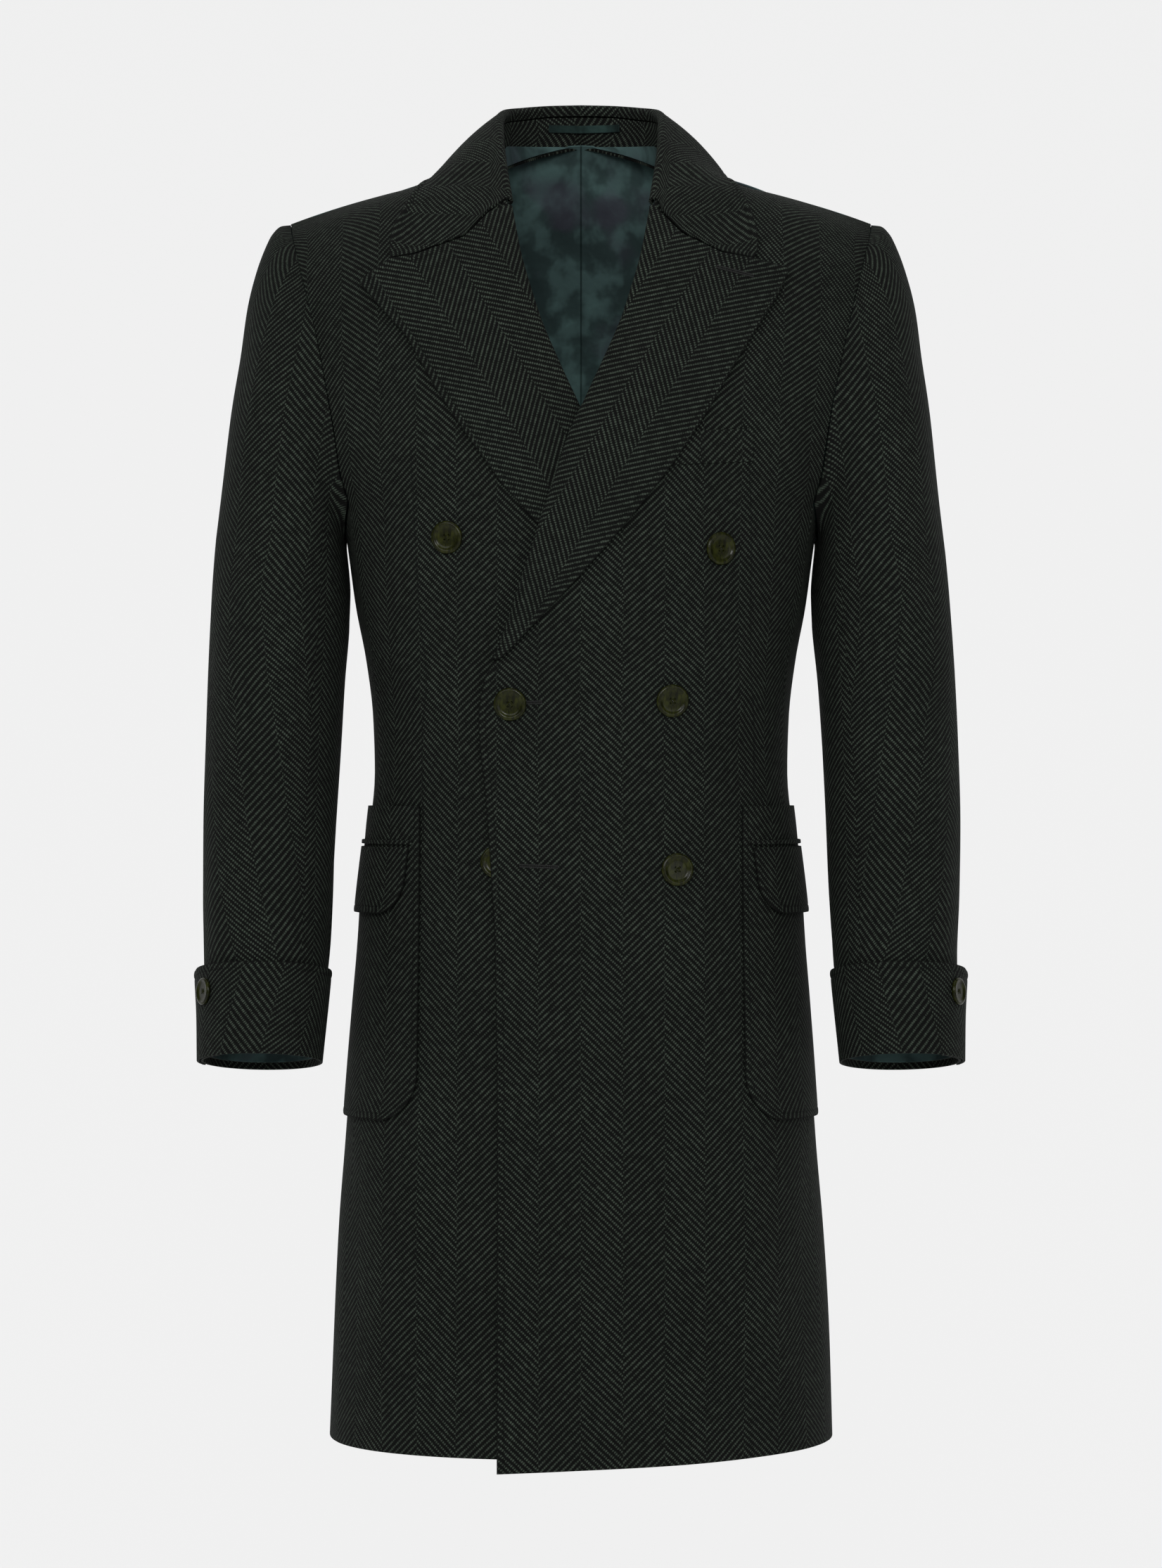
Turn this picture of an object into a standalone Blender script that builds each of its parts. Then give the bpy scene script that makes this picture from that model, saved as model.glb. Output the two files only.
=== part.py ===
"""A double-breasted overcoat, filled out as when worn: each sewn piece is a thin wall of cloth.

The origin is the middle of the shoulders at the base of the neck, where the wearer carries the coat.
The front faces -Y and the wearer's left is +X. Lengths below are millimetres, and meshes are metres.
"""

import math

import bmesh
import bpy
import numpy as np
from mathutils import Vector
from mathutils.bvhtree import BVHTree

MM = 0.001
CLOTH = 2.0  # wall of the overcoating
SEAM = 0.2  # each piece stops this far short of a seam's middle
SIDE_SEAM, SHOULDER_SEAM = 0.4, 0.5  # and this far where the seam lies on a bend
LINING_SHORT = 5.0
SAMPLES = 64  # points along a row, from which distances are measured

# Driving sizes
HEM_Z = -992.0
FRONT_DIP, UNDER_DIP = 11.5, 1.0  # the left and right fronts' hems hang this much lower at their edges
DIP_HEIGHT, DIP_POWER = 110.0, 1.3  # the dip eases out over this height, and towards the side seam
GORGE_LEVEL = -28.0  # where the lapel's roll line meets the collar
LAP_LIFT = 3.2  # the left front stands this far off the right one
CROSSING_LIFT = 10.8  # and this far where the right lapel lies between them
LIFT_FADE = 75.0  # the left front settles back onto the body over this width
BUTTON_LIFT = 4.4  # and this much more over a covered button
LAPEL_LIFT = 4.2  # the middle of a turned lapel, above the middle of its front
WELT_ALLOWANCE = 0.6  # and this much more on the left, over the breast welt
ROLL_RADIUS = 2.45  # fold of the lapel round the front's edge
BUTTON_RADIUS = 12.6
CUFF_BUTTON_RADIUS = 10.5


def table(names, *rows):
    """Named columns, one value for each row."""
    return dict(zip(names.split(), np.array(rows, float).T))


RINGS = table(
    "level half_width side_y front_y back_y n_front n_back rho_back",
    (-995, 197.5, 10, -140, 148, 2.50, 2.40, 0.78),
    (-915, 195.0, 9, -136, 142, 2.48, 2.42, 0.77),
    (-830, 190.5, 7, -132, 136, 2.45, 2.44, 0.765),
    (-760, 185.0, 5, -128.5, 131, 2.42, 2.46, 0.76),
    (-694, 179.5, 3, -125, 126, 2.40, 2.48, 0.76),
    (-650, 175.5, 2, -123, 121, 2.38, 2.50, 0.76),
    (-605, 171.5, 1, -121, 115, 2.36, 2.50, 0.76),
    (-560, 168.8, 1, -119, 107, 2.35, 2.50, 0.765),
    (-516, 165.5, 2, -117.5, 98, 2.35, 2.50, 0.77),
    (-472, 162.0, 3, -117, 91, 2.35, 2.50, 0.785),
    (-427, 163.4, 4, -117.5, 89, 2.38, 2.52, 0.80),
    (-383, 168.5, 5, -119, 92.5, 2.41, 2.54, 0.82),
    (-340, 176.6, 6, -121.5, 99, 2.43, 2.56, 0.84),
    (-300, 182.0, 6, -124.5, 106, 2.45, 2.58, 0.87),
    (-262, 187.5, 6, -127, 112, 2.45, 2.60, 0.90),
    (-215, 196.0, 3, -127.5, 116, 2.45, 2.60, 0.93),
)

ROW_COLUMNS = "level z_middle z_end y_middle width side_y power rho droop"
FRONT_YOKE = table(
    ROW_COLUMNS,
    (-230, -230, -238, -128, 200, 1, 2.40, 0.9275, 2.0),
    (-188, -188, -203, -127, 212, 2, 2.35, 0.8986, 1.9),
    (-147, -147, -168, -123, 222, -1, 2.30, 0.8874, 1.9),
    (-107, -107, -136, -115, 232, 0, 2.25, 0.8793, 1.8),
    (-70, -70, -107, -103, 243, 7, 2.20, 0.8683, 1.7),
    (-36, -36, -82, -87, 253, 13, 2.15, 0.8597, 1.6),
    (-6, -8, -62, -64, 262, 22, 2.10, 0.8511, 1.8),
    (18, 4, -48, -30, 272, 20, 2.05, 0.8346, 1.9),
    (36, 6, -38, 14, 280, 0, 2.00, 0.8179, 2.0),
)
BACK_YOKE = table(
    ROW_COLUMNS,
    (-172, -172, -180, 117, 212, 4.3, 2.50, 0.8868, 2.0),
    (-130, -130, -149, 115, 225, 7, 2.40, 0.8644, 1.9),
    (-88, -88, -120, 110, 238, 3, 2.30, 0.8487, 1.8),
    (-50, -50, -93, 102, 250, -5, 2.20, 0.8380, 1.7),
    (-17, -17, -71, 93, 260, -17, 2.15, 0.8327, 1.6),
    (12, 12, -54, 88, 270, -26, 2.10, 0.8259, 1.6),
    (32, 33, -45, 80, 274, -20, 2.08, 0.8240, 1.6),
    (50, 24.5, -41, 62, 277, -12, 2.03, 0.8210, 1.6),
    (70, 6, -38, 14, 280, 0, 2.00, 0.8179, 2.0),
)
FRONT_SEAM_RHO = 0.955  # the seam to the side panel, as a share of the half width

FRONT_EDGE = table(
    "level x",
    (-1003, -63),
    (-718, -63),
    (-599, -64.5),
    (-539, -67),
    (-432, -75.5),
    (-399, -70.6),
    (-378, -59.3),
    (-355, -50.8),
    (-325, -41.8),
    (-301, -33.8),
    (-277, -26.8),
    (-253, -18.3),
    (-217, -6.8),
    (-188, 6.4),
    (-160, 19.2),
    (-126, 33.2),
    (-107, 39.2),
    (-70, 49.2),
    (-36, 55.2),
    (-20, 57.7),
    (0, 62),
    (18, 68),
    (36, 75),
)
BACK_NECK = table("level x", (-1000, 0), (32, 0), (50, 48), (70, 75))
SIDE_TOP = table("share z", (0, -262), (0.25, -283), (0.5, -289), (0.75, -268), (1, -215))


def smooth(knots, values, at):
    """A curve through the knots that never overshoots them."""
    at = np.clip(np.asarray(at, float), knots[0], knots[-1])
    step = np.diff(knots)
    slope = np.diff(values) / step
    tangent = np.concatenate([slope[:1], np.zeros(len(knots) - 2), slope[-1:]])
    same = slope[:-1] * slope[1:] > 0
    tangent[1:-1][same] = 2 * slope[:-1][same] * slope[1:][same] / (slope[:-1] + slope[1:])[same]
    i = np.clip(np.searchsorted(knots, at) - 1, 0, len(knots) - 2)
    u = (at - knots[i]) / step[i]
    return (
        values[i] * (1 + 2 * u) * (1 - u) ** 2
        + values[i + 1] * u * u * (3 - 2 * u)
        + step[i] * (tangent[i] * u * (1 - u) ** 2 - tangent[i + 1] * u * u * (1 - u))
    )


def fade(value, start, end):
    """1 up to start, easing to 0 at end, or the other way round where end is smaller."""
    u = np.clip((value - end) / (start - end), 0, 1)
    return u * u * (3 - 2 * u)


def ring_rows(front):
    """The rings below the armhole as rows of the front or of the back."""
    keep = slice(None, -1) if front else slice(None)
    level = RINGS["level"][keep]
    end = "front" if front else "back"
    rho = np.full(len(level), FRONT_SEAM_RHO) if front else RINGS["rho_back"][keep]
    return {
        "level": level,
        "z_middle": level,
        "z_end": level,
        "y_middle": RINGS[end + "_y"][keep],
        "width": RINGS["half_width"][keep],
        "side_y": RINGS["side_y"][keep],
        "power": RINGS["n_" + end][keep],
        "rho": rho,
        "droop": np.full(len(level), 2.0),
    }


def stacked(lower, upper):
    return {name: np.concatenate([lower[name], upper[name]]) for name in lower}


FRONT = stacked(ring_rows(True), FRONT_YOKE)
BACK = stacked(ring_rows(False), BACK_YOKE)


def body_point(rows, x, level):
    """The point of the body surface at x on the row of this level."""
    row = {name: smooth(rows["level"], rows[name], level) for name in rows}
    out = np.minimum(np.abs(x) / row["width"], 1)
    bow = (1 - out ** row["power"]) ** (1 / row["power"])
    y = row["side_y"] + (row["y_middle"] - row["side_y"]) * bow
    reach = (np.abs(x) / (row["rho"] * row["width"])) ** row["droop"]
    return np.stack([x + 0 * y, y, row["z_middle"] + (row["z_end"] - row["z_middle"]) * reach], axis=-1)


def unit(vectors):
    return vectors / np.maximum(np.linalg.norm(vectors, axis=-1, keepdims=True), 1e-9)


def body_normal(rows, x, level):
    """The outward direction of the body surface there."""
    low, high = rows["level"][0], rows["level"][-1]
    up = np.clip(level + 1, low, high)
    down = np.clip(level - 1, low, high)
    across = body_point(rows, x + 1, level) - body_point(rows, x - 1, level)
    along_side = body_point(rows, x, up) - body_point(rows, x, down)
    normal = unit(np.cross(across, along_side))
    return normal if rows is FRONT else -normal


def level_at(rows, x, z):
    """The level of the row that passes through x and z, by halving."""
    low = np.full(np.shape(z), rows["level"][0])
    high = np.full(np.shape(z), rows["level"][-1])
    for _ in range(30):
        middle = (low + high) / 2
        above = body_point(rows, x, middle)[..., 2] > z
        high = np.where(above, middle, high)
        low = np.where(above, low, middle)
    return (low + high) / 2


def along(curves, share):
    """The point at this share of the length of each curve, and how far along it lies."""
    steps = np.linalg.norm(np.diff(curves, axis=1), axis=2)
    reach = np.concatenate([np.zeros((len(steps), 1)), np.cumsum(steps, axis=1)], axis=1)
    points = [
        [np.interp(f * r[-1], r, c[:, axis]) for axis in range(3)]
        for f, r, c in zip(share, reach, curves)
    ]
    return np.array(points)


LAP_TOP = (-190, -110)  # heights between which the left front comes back onto the body
CROSSING_BOTTOM = (-395, -505)  # and between which the right lapel ends under it
LAP_REACH = 40.0  # it stands off at least as far as this beyond the centre line
COVERED_BUTTON = (-64, -540)
COVER_FADE = (20, 62)


def lap_lift(x, z):
    """How far the left front stands off the right one, to clear the right lapel and a covered button."""
    edge = smooth(FRONT_EDGE["level"], FRONT_EDGE["x"], z)
    lapped = fade(z, *LAP_TOP)
    lift = LAP_LIFT * lapped + (CROSSING_LIFT - LAP_LIFT) * fade(z, *CROSSING_BOTTOM) * lapped
    zone = np.maximum(LAP_REACH, 12 - edge)
    from_button = np.hypot(x - COVERED_BUTTON[0], z - COVERED_BUTTON[1])
    return (lift + BUTTON_LIFT * fade(from_button, *COVER_FADE)) * fade(x, zone, zone + LIFT_FADE)


FRONT_ROW_AT = (0, 6, 13, 17, 24, 27)  # rows of the front's grid that lie at these levels
FRONT_ROW_LEVEL = (HEM_Z, -602, -384, -262, -30, 36)
FRONT_ROWS = FRONT_ROW_AT[-1]
LAPEL_ROW_AT = (0, 4, 11)  # the lapel's rows keep to the front's
LAPEL_ROW_LEVEL = FRONT_ROW_LEVEL[2:5]
LAPEL_ROWS = LAPEL_ROW_AT[-1]


def front_point(x, level, side):
    """A point of a front's middle surface. side is 1 on the left, which laps over the right."""
    base = body_point(FRONT, x, level)
    if side < 0:
        return base
    return base + body_normal(FRONT, x, level) * lap_lift(x, base[:, 2])[:, None]


def front_normal(x, level, side):
    """The outward direction of a front there."""
    up = np.minimum(level + 3, FRONT["level"][-1])
    across = front_point(x + 3, level, side) - front_point(x - 3, level, side)
    return unit(np.cross(across, front_point(x, up, side) - front_point(x, level - 3, side)))


def front_panel(side):
    """Rows from the hem to the shoulder, each from the front's edge to the side seam."""

    def place(s, t):
        level = np.interp(t * FRONT_ROWS, FRONT_ROW_AT, FRONT_ROW_LEVEL)
        edge = smooth(FRONT_EDGE["level"], FRONT_EDGE["x"], level)
        end = smooth(FRONT["level"], FRONT["rho"] * FRONT["width"], level)
        x = edge[:, None] + (end - edge)[:, None] * np.linspace(0, 1, SAMPLES)
        points = along(body_point(FRONT, x, np.repeat(level[:, None], SAMPLES, axis=1)), s)
        points = front_point(points[:, 0], level, side)
        dip = FRONT_DIP if side > 0 else UNDER_DIP
        points[:, 2] -= dip * (1 - s) ** DIP_POWER * fade(level, HEM_Z, HEM_Z + DIP_HEIGHT)
        return points

    return place


SIDE_ROWS = 15
BACK_ROW_AT = (0, SIDE_ROWS, SIDE_ROWS + 5, SIDE_ROWS + 7, SIDE_ROWS + 9)
BACK_ROW_LEVEL = (HEM_Z, -215, 32, 50, 70)
BACK_ROWS = BACK_ROW_AT[-1]
BACK_COLUMNS = 7


def grid_points(place, columns, rows):
    """A piece's points, row by row from its lower edge."""
    s, t = np.meshgrid(np.linspace(0, 1, columns + 1), np.linspace(0, 1, rows + 1))
    return place(s.ravel(), t.ravel()).reshape(rows + 1, columns + 1, 3)


def facets(grid):
    """The grid's own flat faces, to lay another piece on."""
    rows, columns = grid.shape[:2]
    corner = np.arange(rows * columns).reshape(rows, columns)
    quads = np.stack([corner[:-1, :-1], corner[:-1, 1:], corner[1:, 1:], corner[1:, :-1]], axis=-1)
    vertices = [tuple(point) for point in grid.reshape(-1, 3)]
    return BVHTree.FromPolygons(vertices, quads.reshape(-1, 4).tolist())


FRONT_COLUMNS = 12
FRONT_FACETS = {
    side: facets(grid_points(front_panel(side), FRONT_COLUMNS, FRONT_ROWS)) for side in (1, -1)
}


def front_surface(x, z, side, out=0.0):
    """The point of a front's own faces behind x and z, moved out by this much. side is 1 on the left."""
    level = level_at(FRONT, x, z)
    normal = front_normal(x, level, side)
    base = front_point(x, level, side)
    for i, point in enumerate(base):
        found = FRONT_FACETS[side].ray_cast((point[0], -400.0, point[2]), (0, 1, 0))[0]
        if found is not None:
            base[i] = found
    return base + normal * np.expand_dims(out, -1)


def back_panel(s, t):
    """Rows from the hem to the neck and shoulder, each from the centre back seam to the side seam."""
    level = np.interp(t * BACK_ROWS, BACK_ROW_AT, BACK_ROW_LEVEL)
    start = smooth(BACK_NECK["level"], BACK_NECK["x"], level)
    end = smooth(BACK["level"], BACK["rho"] * BACK["width"], level)
    x = start[:, None] + (end - start)[:, None] * np.linspace(0, 1, SAMPLES)
    return along(body_point(BACK, x, np.repeat(level[:, None], SAMPLES, axis=1)), s)


def ring_side(level, samples=SAMPLES):
    """The ring from the front seam round the side to the back seam, for each level."""
    ring = {name: smooth(RINGS["level"], RINGS[name], level)[:, None] for name in RINGS}
    u = np.linspace(-1, 1, samples)[None, :]
    front_start = np.arccos(FRONT_SEAM_RHO ** (ring["n_front"] / 2))
    back_end = np.arccos(ring["rho_back"] ** (ring["n_back"] / 2))
    angle = np.where(u < 0, -u * front_start, u * back_end)
    power = 2 / np.where(u < 0, ring["n_front"], ring["n_back"])
    depth = np.where(u < 0, ring["front_y"], ring["back_y"]) - ring["side_y"]
    x = ring["half_width"] * np.cos(angle) ** power
    y = ring["side_y"] + depth * np.sin(angle) ** power
    return np.stack([x, y, np.repeat(level[:, None], samples, axis=1)], axis=-1)


def side_panel(s, t):
    """From the hem to the underarm, round the side from the front seam to the back seam."""
    top = smooth(SIDE_TOP["share"], SIDE_TOP["z"], s)
    level = HEM_Z + (top - HEM_Z) * t
    return along(ring_side(level), s)


# Sleeves: sections from the crown to the wrist, each an ellipse between an outer and an inner point
SLEEVE = table(
    "outer_x outer_z inner_x inner_z middle_y half_depth tilt",
    (229.3, -37.5, 186.2, -289, 4, 68, 0),
    (236, -39, 186.5, -290, 4, 69.5, 0),
    (243, -46, 186.6, -291.5, 4, 71, 0),
    (249.5, -60, 186.5, -294, 4, 72, 0),
    (256, -79, 186.2, -297, 3.5, 72, 0),
    (262.5, -104, 185.7, -301, 3, 72, 0),
    (269, -143, 185, -307, 3, 71, 0),
    (276, -187, 184, -316, 2, 70, 0),
    (282.5, -252, 183, -331, 0, 68.5, 1),
    (289.5, -332, 183.5, -356, -3, 66.5, 2),
    (292.5, -396, 187.5, -402, -9, 64, 4),
    (293.8, -450, 190.3, -452, -18, 61.5, 6),
    (294.8, -508, 193, -508, -30, 59, 8),
    (294, -565, 194.8, -565, -42, 56.5, 9),
    (291.7, -618, 197.5, -618, -52, 54.5, 9.5),
    (289.8, -690, 204.5, -690, -66, 52, 10),
)
SECTIONS = len(SLEEVE["tilt"]) - 1
BLEND_SECTIONS = 4.0  # the armhole's own shape fades out over these sections
FOREARM_SEAM, ELBOW_SEAM = 128.0, 242.0  # degrees round from the outer side, through the front
SLEEVE_OFF = table("turn off", (0, 1.0), (60, 1.4), (120, 2.0), (180, 3.2), (240, 2.0), (300, 1.4), (360, 1.0))


def armhole_half(front):
    """One half of the armhole, from the shoulder seam down to the lowest point of the underarm."""
    rows = FRONT if front else BACK
    level = np.linspace(rows["level"][-1], -262 if front else -215, SAMPLES)
    x = smooth(rows["level"], rows["rho"] * rows["width"], level)
    share = np.linspace(0, 0.5, 16) if front else np.linspace(1, 0.5, 16)
    under = along(ring_side(smooth(SIDE_TOP["share"], SIDE_TOP["z"], share)), share)
    return np.concatenate([body_point(rows, x, level), under[1:]])


ARMHOLE = {front: armhole_half(front) for front in (True, False)}


def armhole_point(turn):
    """The armhole's point for each turn in degrees, from the shoulder seam through the front."""
    turn = np.mod(turn, 360.0)
    share = np.where(turn <= 180, turn, 360 - turn) / 180
    front = along(np.repeat(ARMHOLE[True][None], len(share), axis=0), share)
    back = along(np.repeat(ARMHOLE[False][None], len(share), axis=0), share)
    return np.where((turn <= 180)[:, None], front, back)


def sleeve_section(section, turn):
    """The point of an elliptical section at this turn in degrees."""
    index = np.arange(SECTIONS + 1.0)
    at = {name: smooth(index, SLEEVE[name], section) for name in SLEEVE}
    angle = np.radians(turn)
    lean = np.cos(angle)
    x = (at["outer_x"] + at["inner_x"]) / 2 + (at["outer_x"] - at["inner_x"]) / 2 * lean
    forward = at["half_depth"] * np.sin(angle)
    z = (at["outer_z"] + at["inner_z"]) / 2 + (at["outer_z"] - at["inner_z"]) / 2 * lean
    z = z + forward * np.tan(np.radians(at["tilt"]))
    return np.stack([x, at["middle_y"] - forward, z], axis=-1)


def sleeve_point(section, turn):
    """The sleeve, which starts on the armhole's shape and eases into its own sections."""
    own = sleeve_section(section, turn)
    start = sleeve_section(np.zeros_like(section), turn)
    target = armhole_point(turn)
    target[:, 0] += smooth(SLEEVE_OFF["turn"], SLEEVE_OFF["off"], np.mod(turn, 360.0))
    hold = np.clip(1 - section / BLEND_SECTIONS, 0, 1)[:, None] ** 2
    return own + (target - start) * hold


def sleeve_panel(start, end):
    def place(s, t):
        return sleeve_point(SECTIONS * t, start + (end - start) * s)

    return place


def sleeve_outside(section, turn, out):
    """A point moved out from the sleeve's surface by this much."""
    around = sleeve_point(section, turn + 2) - sleeve_point(section, turn - 2)
    low = np.minimum(section + 0.05, SECTIONS)
    down = sleeve_point(low, turn) - sleeve_point(low - 0.1, turn)
    normal = unit(np.cross(around, down))
    return sleeve_point(section, turn) + normal * np.expand_dims(out, -1)


# Turn-back cuffs, wound once round with their free end lapped at the outer back
CUFF_TOP_SECTION = 14.11
CUFF_OVERHANG = 5.0
CUFF_START, CUFF_END = 52.0, -382.0
CUFF_OUT, CUFF_LAP = 3.4, 3.2
CUFF_FLARE = 5.0
CUFF_LAP_END, CUFF_FLARE_END = (0.825, 0.74), (1.0, 0.93)  # shares of the strip's length
CUFF_BUTTON_TURN, CUFF_BUTTON_SECTION = 35.0, 14.4


def cuff_strip(s, t):
    section = SECTIONS + (CUFF_TOP_SECTION - SECTIONS) * t
    lapped = fade(s, *CUFF_LAP_END)
    flare = fade(s, *CUFF_FLARE_END) * fade(t, 1, 0.1)
    out = CUFF_OUT + CUFF_LAP * lapped + CUFF_FLARE * flare
    points = sleeve_outside(section, CUFF_START + (CUFF_END - CUFF_START) * s, out)
    points[:, 2] -= CUFF_OVERHANG * (1 - t)
    return points


# Lapels, in the front view: x away from the centre line, mirrored on the right
LEFT_LAPEL = np.array(
    [
        (-58.5, -383.5),
        (-53.7, -378.6),
        (-29.9, -352),
        (0, -319.3),
        (35.8, -277.6),
        (71.4, -229.5),
        (95.3, -193.4),
        (129, -137.5),
        (150.5, -103.3),
        (158.6, -84.2),
    ]
)
RIGHT_LAPEL = np.array(
    [
        (-58.5, -383.5),
        (-53.7, -378.6),
        (-29.9, -352),
        (0, -319.3),
        (35.8, -277.4),
        (59.9, -250.4),
        (83.5, -217.3),
        (107.8, -180.6),
        (132.1, -137.5),
        (156.7, -109.3),
        (169.5, -92.9),
    ]
)
LEFT_GORGE = np.array([(56, -32), (62.3, -41), (76.9, -57.2), (106, -72), (130.6, -76.5), (158.6, -84.2)])
RIGHT_GORGE = np.array(
    [
        (56, -32),
        (69.7, -38),
        (80, -50),
        (88.5, -59.2),
        (109.3, -67),
        (126.6, -73.2),
        (145.6, -75.6),
        (169.5, -92.9),
    ]
)
LAPEL_COLUMNS = 12
TAIL_SHARE = 1 / LAPEL_COLUMNS  # the lapel's inside tail is its first column
FOLD_SHARE = 5 / LAPEL_COLUMNS  # and the next four go round the front's edge
TAIL, TAIL_INWARD = 8.0, 1.2


def polyline(points, share):
    """The point of a flat outline at this share of its length."""
    return along(np.repeat(np.pad(points, ((0, 0), (0, 1)))[None], len(share), axis=0), share)[:, :2]


def roll_point(level, side):
    """The front's edge at this level, its outward normal and the direction into the opening."""
    edge = smooth(FRONT_EDGE["level"], FRONT_EDGE["x"], level)

    def at(row):
        return front_point(smooth(FRONT_EDGE["level"], FRONT_EDGE["x"], row), row, side)

    normal = front_normal(edge, level, side)
    tangent = unit(at(level + 2) - at(level - 2))
    return at(level), normal, unit(np.cross(normal, tangent))


def lapel(side):
    """From inside the opening, round the front's edge and out over the chest to the lapel's own edge."""
    outline, gorge = (LEFT_LAPEL, LEFT_GORGE) if side > 0 else (RIGHT_LAPEL, RIGHT_GORGE)
    levels = np.linspace(LAPEL_ROW_LEVEL[0], LAPEL_ROW_LEVEL[-1], SAMPLES)
    roll_path = roll_point(levels, side)[0]
    reach = np.concatenate([[0], np.cumsum(np.linalg.norm(np.diff(roll_path, axis=0), axis=1))])

    def place(s, t):
        level = np.interp(t * LAPEL_ROWS, LAPEL_ROW_AT, LAPEL_ROW_LEVEL)
        along_roll = np.interp(level, levels, reach) / reach[-1]
        roll, normal, opening = roll_point(level, side)
        if np.mean(opening[:, 0]) > 0:
            opening = -opening
        turn = np.interp(s, [TAIL_SHARE, FOLD_SHARE], [-90, 90])
        angle = np.radians(turn)
        fold = roll + ROLL_RADIUS * (
            opening * np.cos(angle)[:, None] + normal * np.sin(angle)[:, None]
        )
        inside = np.clip(1 - s / TAIL_SHARE, 0, 1)
        fold = fold - opening * (inside * TAIL)[:, None] - normal * (inside * TAIL_INWARD)[:, None]
        out = np.clip((s - FOLD_SHARE) / (1 - FOLD_SHARE), 0, 1)
        edge = polyline(outline, along_roll)
        start = np.stack([roll[:, 0], roll[:, 2]], axis=-1)
        flat = start + (edge - start) * out[:, None]
        chord = gorge[0] + (gorge[-1] - gorge[0]) * out[:, None]
        flat = flat + (polyline(gorge, out) - chord) * (along_roll**4)[:, None]
        high = LAPEL_LIFT if side < 0 else LAPEL_LIFT + WELT_ALLOWANCE
        height = ROLL_RADIUS + (high - ROLL_RADIUS) * fade(out, 0.3, 0)
        leaf = front_surface(flat[:, 0], flat[:, 1], side, height)
        return np.where((s < FOLD_SHARE + 0.001)[:, None], fold, leaf)

    return place


# Collar: its neck seam, its fold and its outer edge, from the centre back to the gorge
COLLAR_FOLD = table(
    "share x y z",
    (0, 0, 79, 67),
    (0.15, 25, 76, 66),
    (0.3, 46, 60, 62),
    (0.45, 60, 34, 56),
    (0.6, 63, 5, 46),
    (0.75, 61.5, -25, 27),
    (0.88, 58.5, -50, 2),
    (1, 53.4, -77, -29.5),
)
COLLAR_EDGE_BACK = table(
    "share x y z",
    (0, 0, 90, 16),
    (0.15, 32, 90, 15),
    (0.22, 47, 88, 14),
    (0.3, 63, 85, 14),
    (0.375, 81, 75, 17),
    (0.45, 97, 56, 11),
    (0.58, 116, 20, 0),
)
COLLAR_EDGE_FRONT = {
    1: table(
        "share x z",
        (0.7, 113, -7),
        (0.8, 125, -23.5),
        (0.88, 136, -45),
        (0.95, 139.5, -64),
        (1, 131, -75.5),
    ),
    -1: table(
        "share x z",
        (0.7, 121, -11),
        (0.8, 134, -30),
        (0.88, 144, -46),
        (0.95, 146, -61),
        (1, 143, -73),
    ),
}
FOLD_RADIUS = 3.0
STAND_SEAM_DROP = 9.0  # the stand's own top edge, below the fold
STAND_START = 1.6
STAND_SHARE = 0.84  # beyond this the collar folds straight round the front's edge
COLLAR_OVER = 4.0  # the collar's middle above the body's
SHOULDER_OVER = 4.2  # and this much more where it bends over the back of the shoulder


def neck_seam():
    """The neck edge of the back and then of the front, down to the gorge."""
    back_level = np.linspace(32, 70, 24)
    back_x = smooth(BACK_NECK["level"], BACK_NECK["x"], back_level)
    front_level = np.linspace(36, GORGE_LEVEL, 24)
    front_x = smooth(FRONT_EDGE["level"], FRONT_EDGE["x"], front_level)
    front = body_point(FRONT, front_x, front_level)
    seam = np.concatenate([body_point(BACK, back_x, back_level), front[1:]])
    return along(np.repeat(seam[None], 1200, axis=0), np.linspace(0, 1, 1200))


NECK_SEAM = neck_seam()


TREE_STEPS = 60
TREE_BOTTOMS = ((FRONT, -160), (BACK, -120))


def body_tree():
    """The upper body on both sides, to find what a collar lies over."""
    vertices, faces = [], []
    for rows, low in TREE_BOTTOMS:
        for side in (1, -1):
            first = len(vertices)
            shares = np.linspace(0, 1, TREE_STEPS)
            for level in np.linspace(low, rows["level"][-1], TREE_STEPS):
                x = shares * smooth(rows["level"], rows["rho"] * rows["width"], level)
                row = body_point(rows, x, np.full(TREE_STEPS, level)) * (side, 1, 1)
                vertices.extend(map(tuple, row))
            outward = (rows is FRONT) == (side > 0)
            for j in range(TREE_STEPS - 1):
                for i in range(TREE_STEPS - 1):
                    a = first + j * TREE_STEPS + i
                    quad = (a, a + 1, a + TREE_STEPS + 1, a + TREE_STEPS)
                    faces.append(quad if outward else quad[::-1])
    return BVHTree.FromPolygons(vertices, faces)


def held_clear(tree, points, clearance):
    """Each point moved out of the body until it is this far off."""
    result = points.copy()
    for i, point in enumerate(points):
        found, normal, _, _ = tree.find_nearest(tuple(point))
        away = np.array(point) - np.array(found)
        height = float(away @ np.array(normal))
        if height < clearance[i]:
            result[i] = point + np.array(normal) * (clearance[i] - height)
    return result


def on_body(tree, point, clearance):
    found, normal, _, _ = tree.find_nearest(tuple(point))
    return np.array(found) + np.array(normal) * clearance


TREE = body_tree()


def collar_edge_path(side):
    """The collar's outer edge on one side, laid on the body."""
    back = np.stack([COLLAR_EDGE_BACK[axis] for axis in "xyz"], axis=-1)
    back = np.array([on_body(TREE, point, COLLAR_OVER) for point in back])
    edge = COLLAR_EDGE_FRONT[side]
    front = front_surface(edge["x"], edge["z"], side, COLLAR_OVER)
    share = np.concatenate([COLLAR_EDGE_BACK["share"], edge["share"]])
    return share, np.concatenate([back, front])


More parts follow.
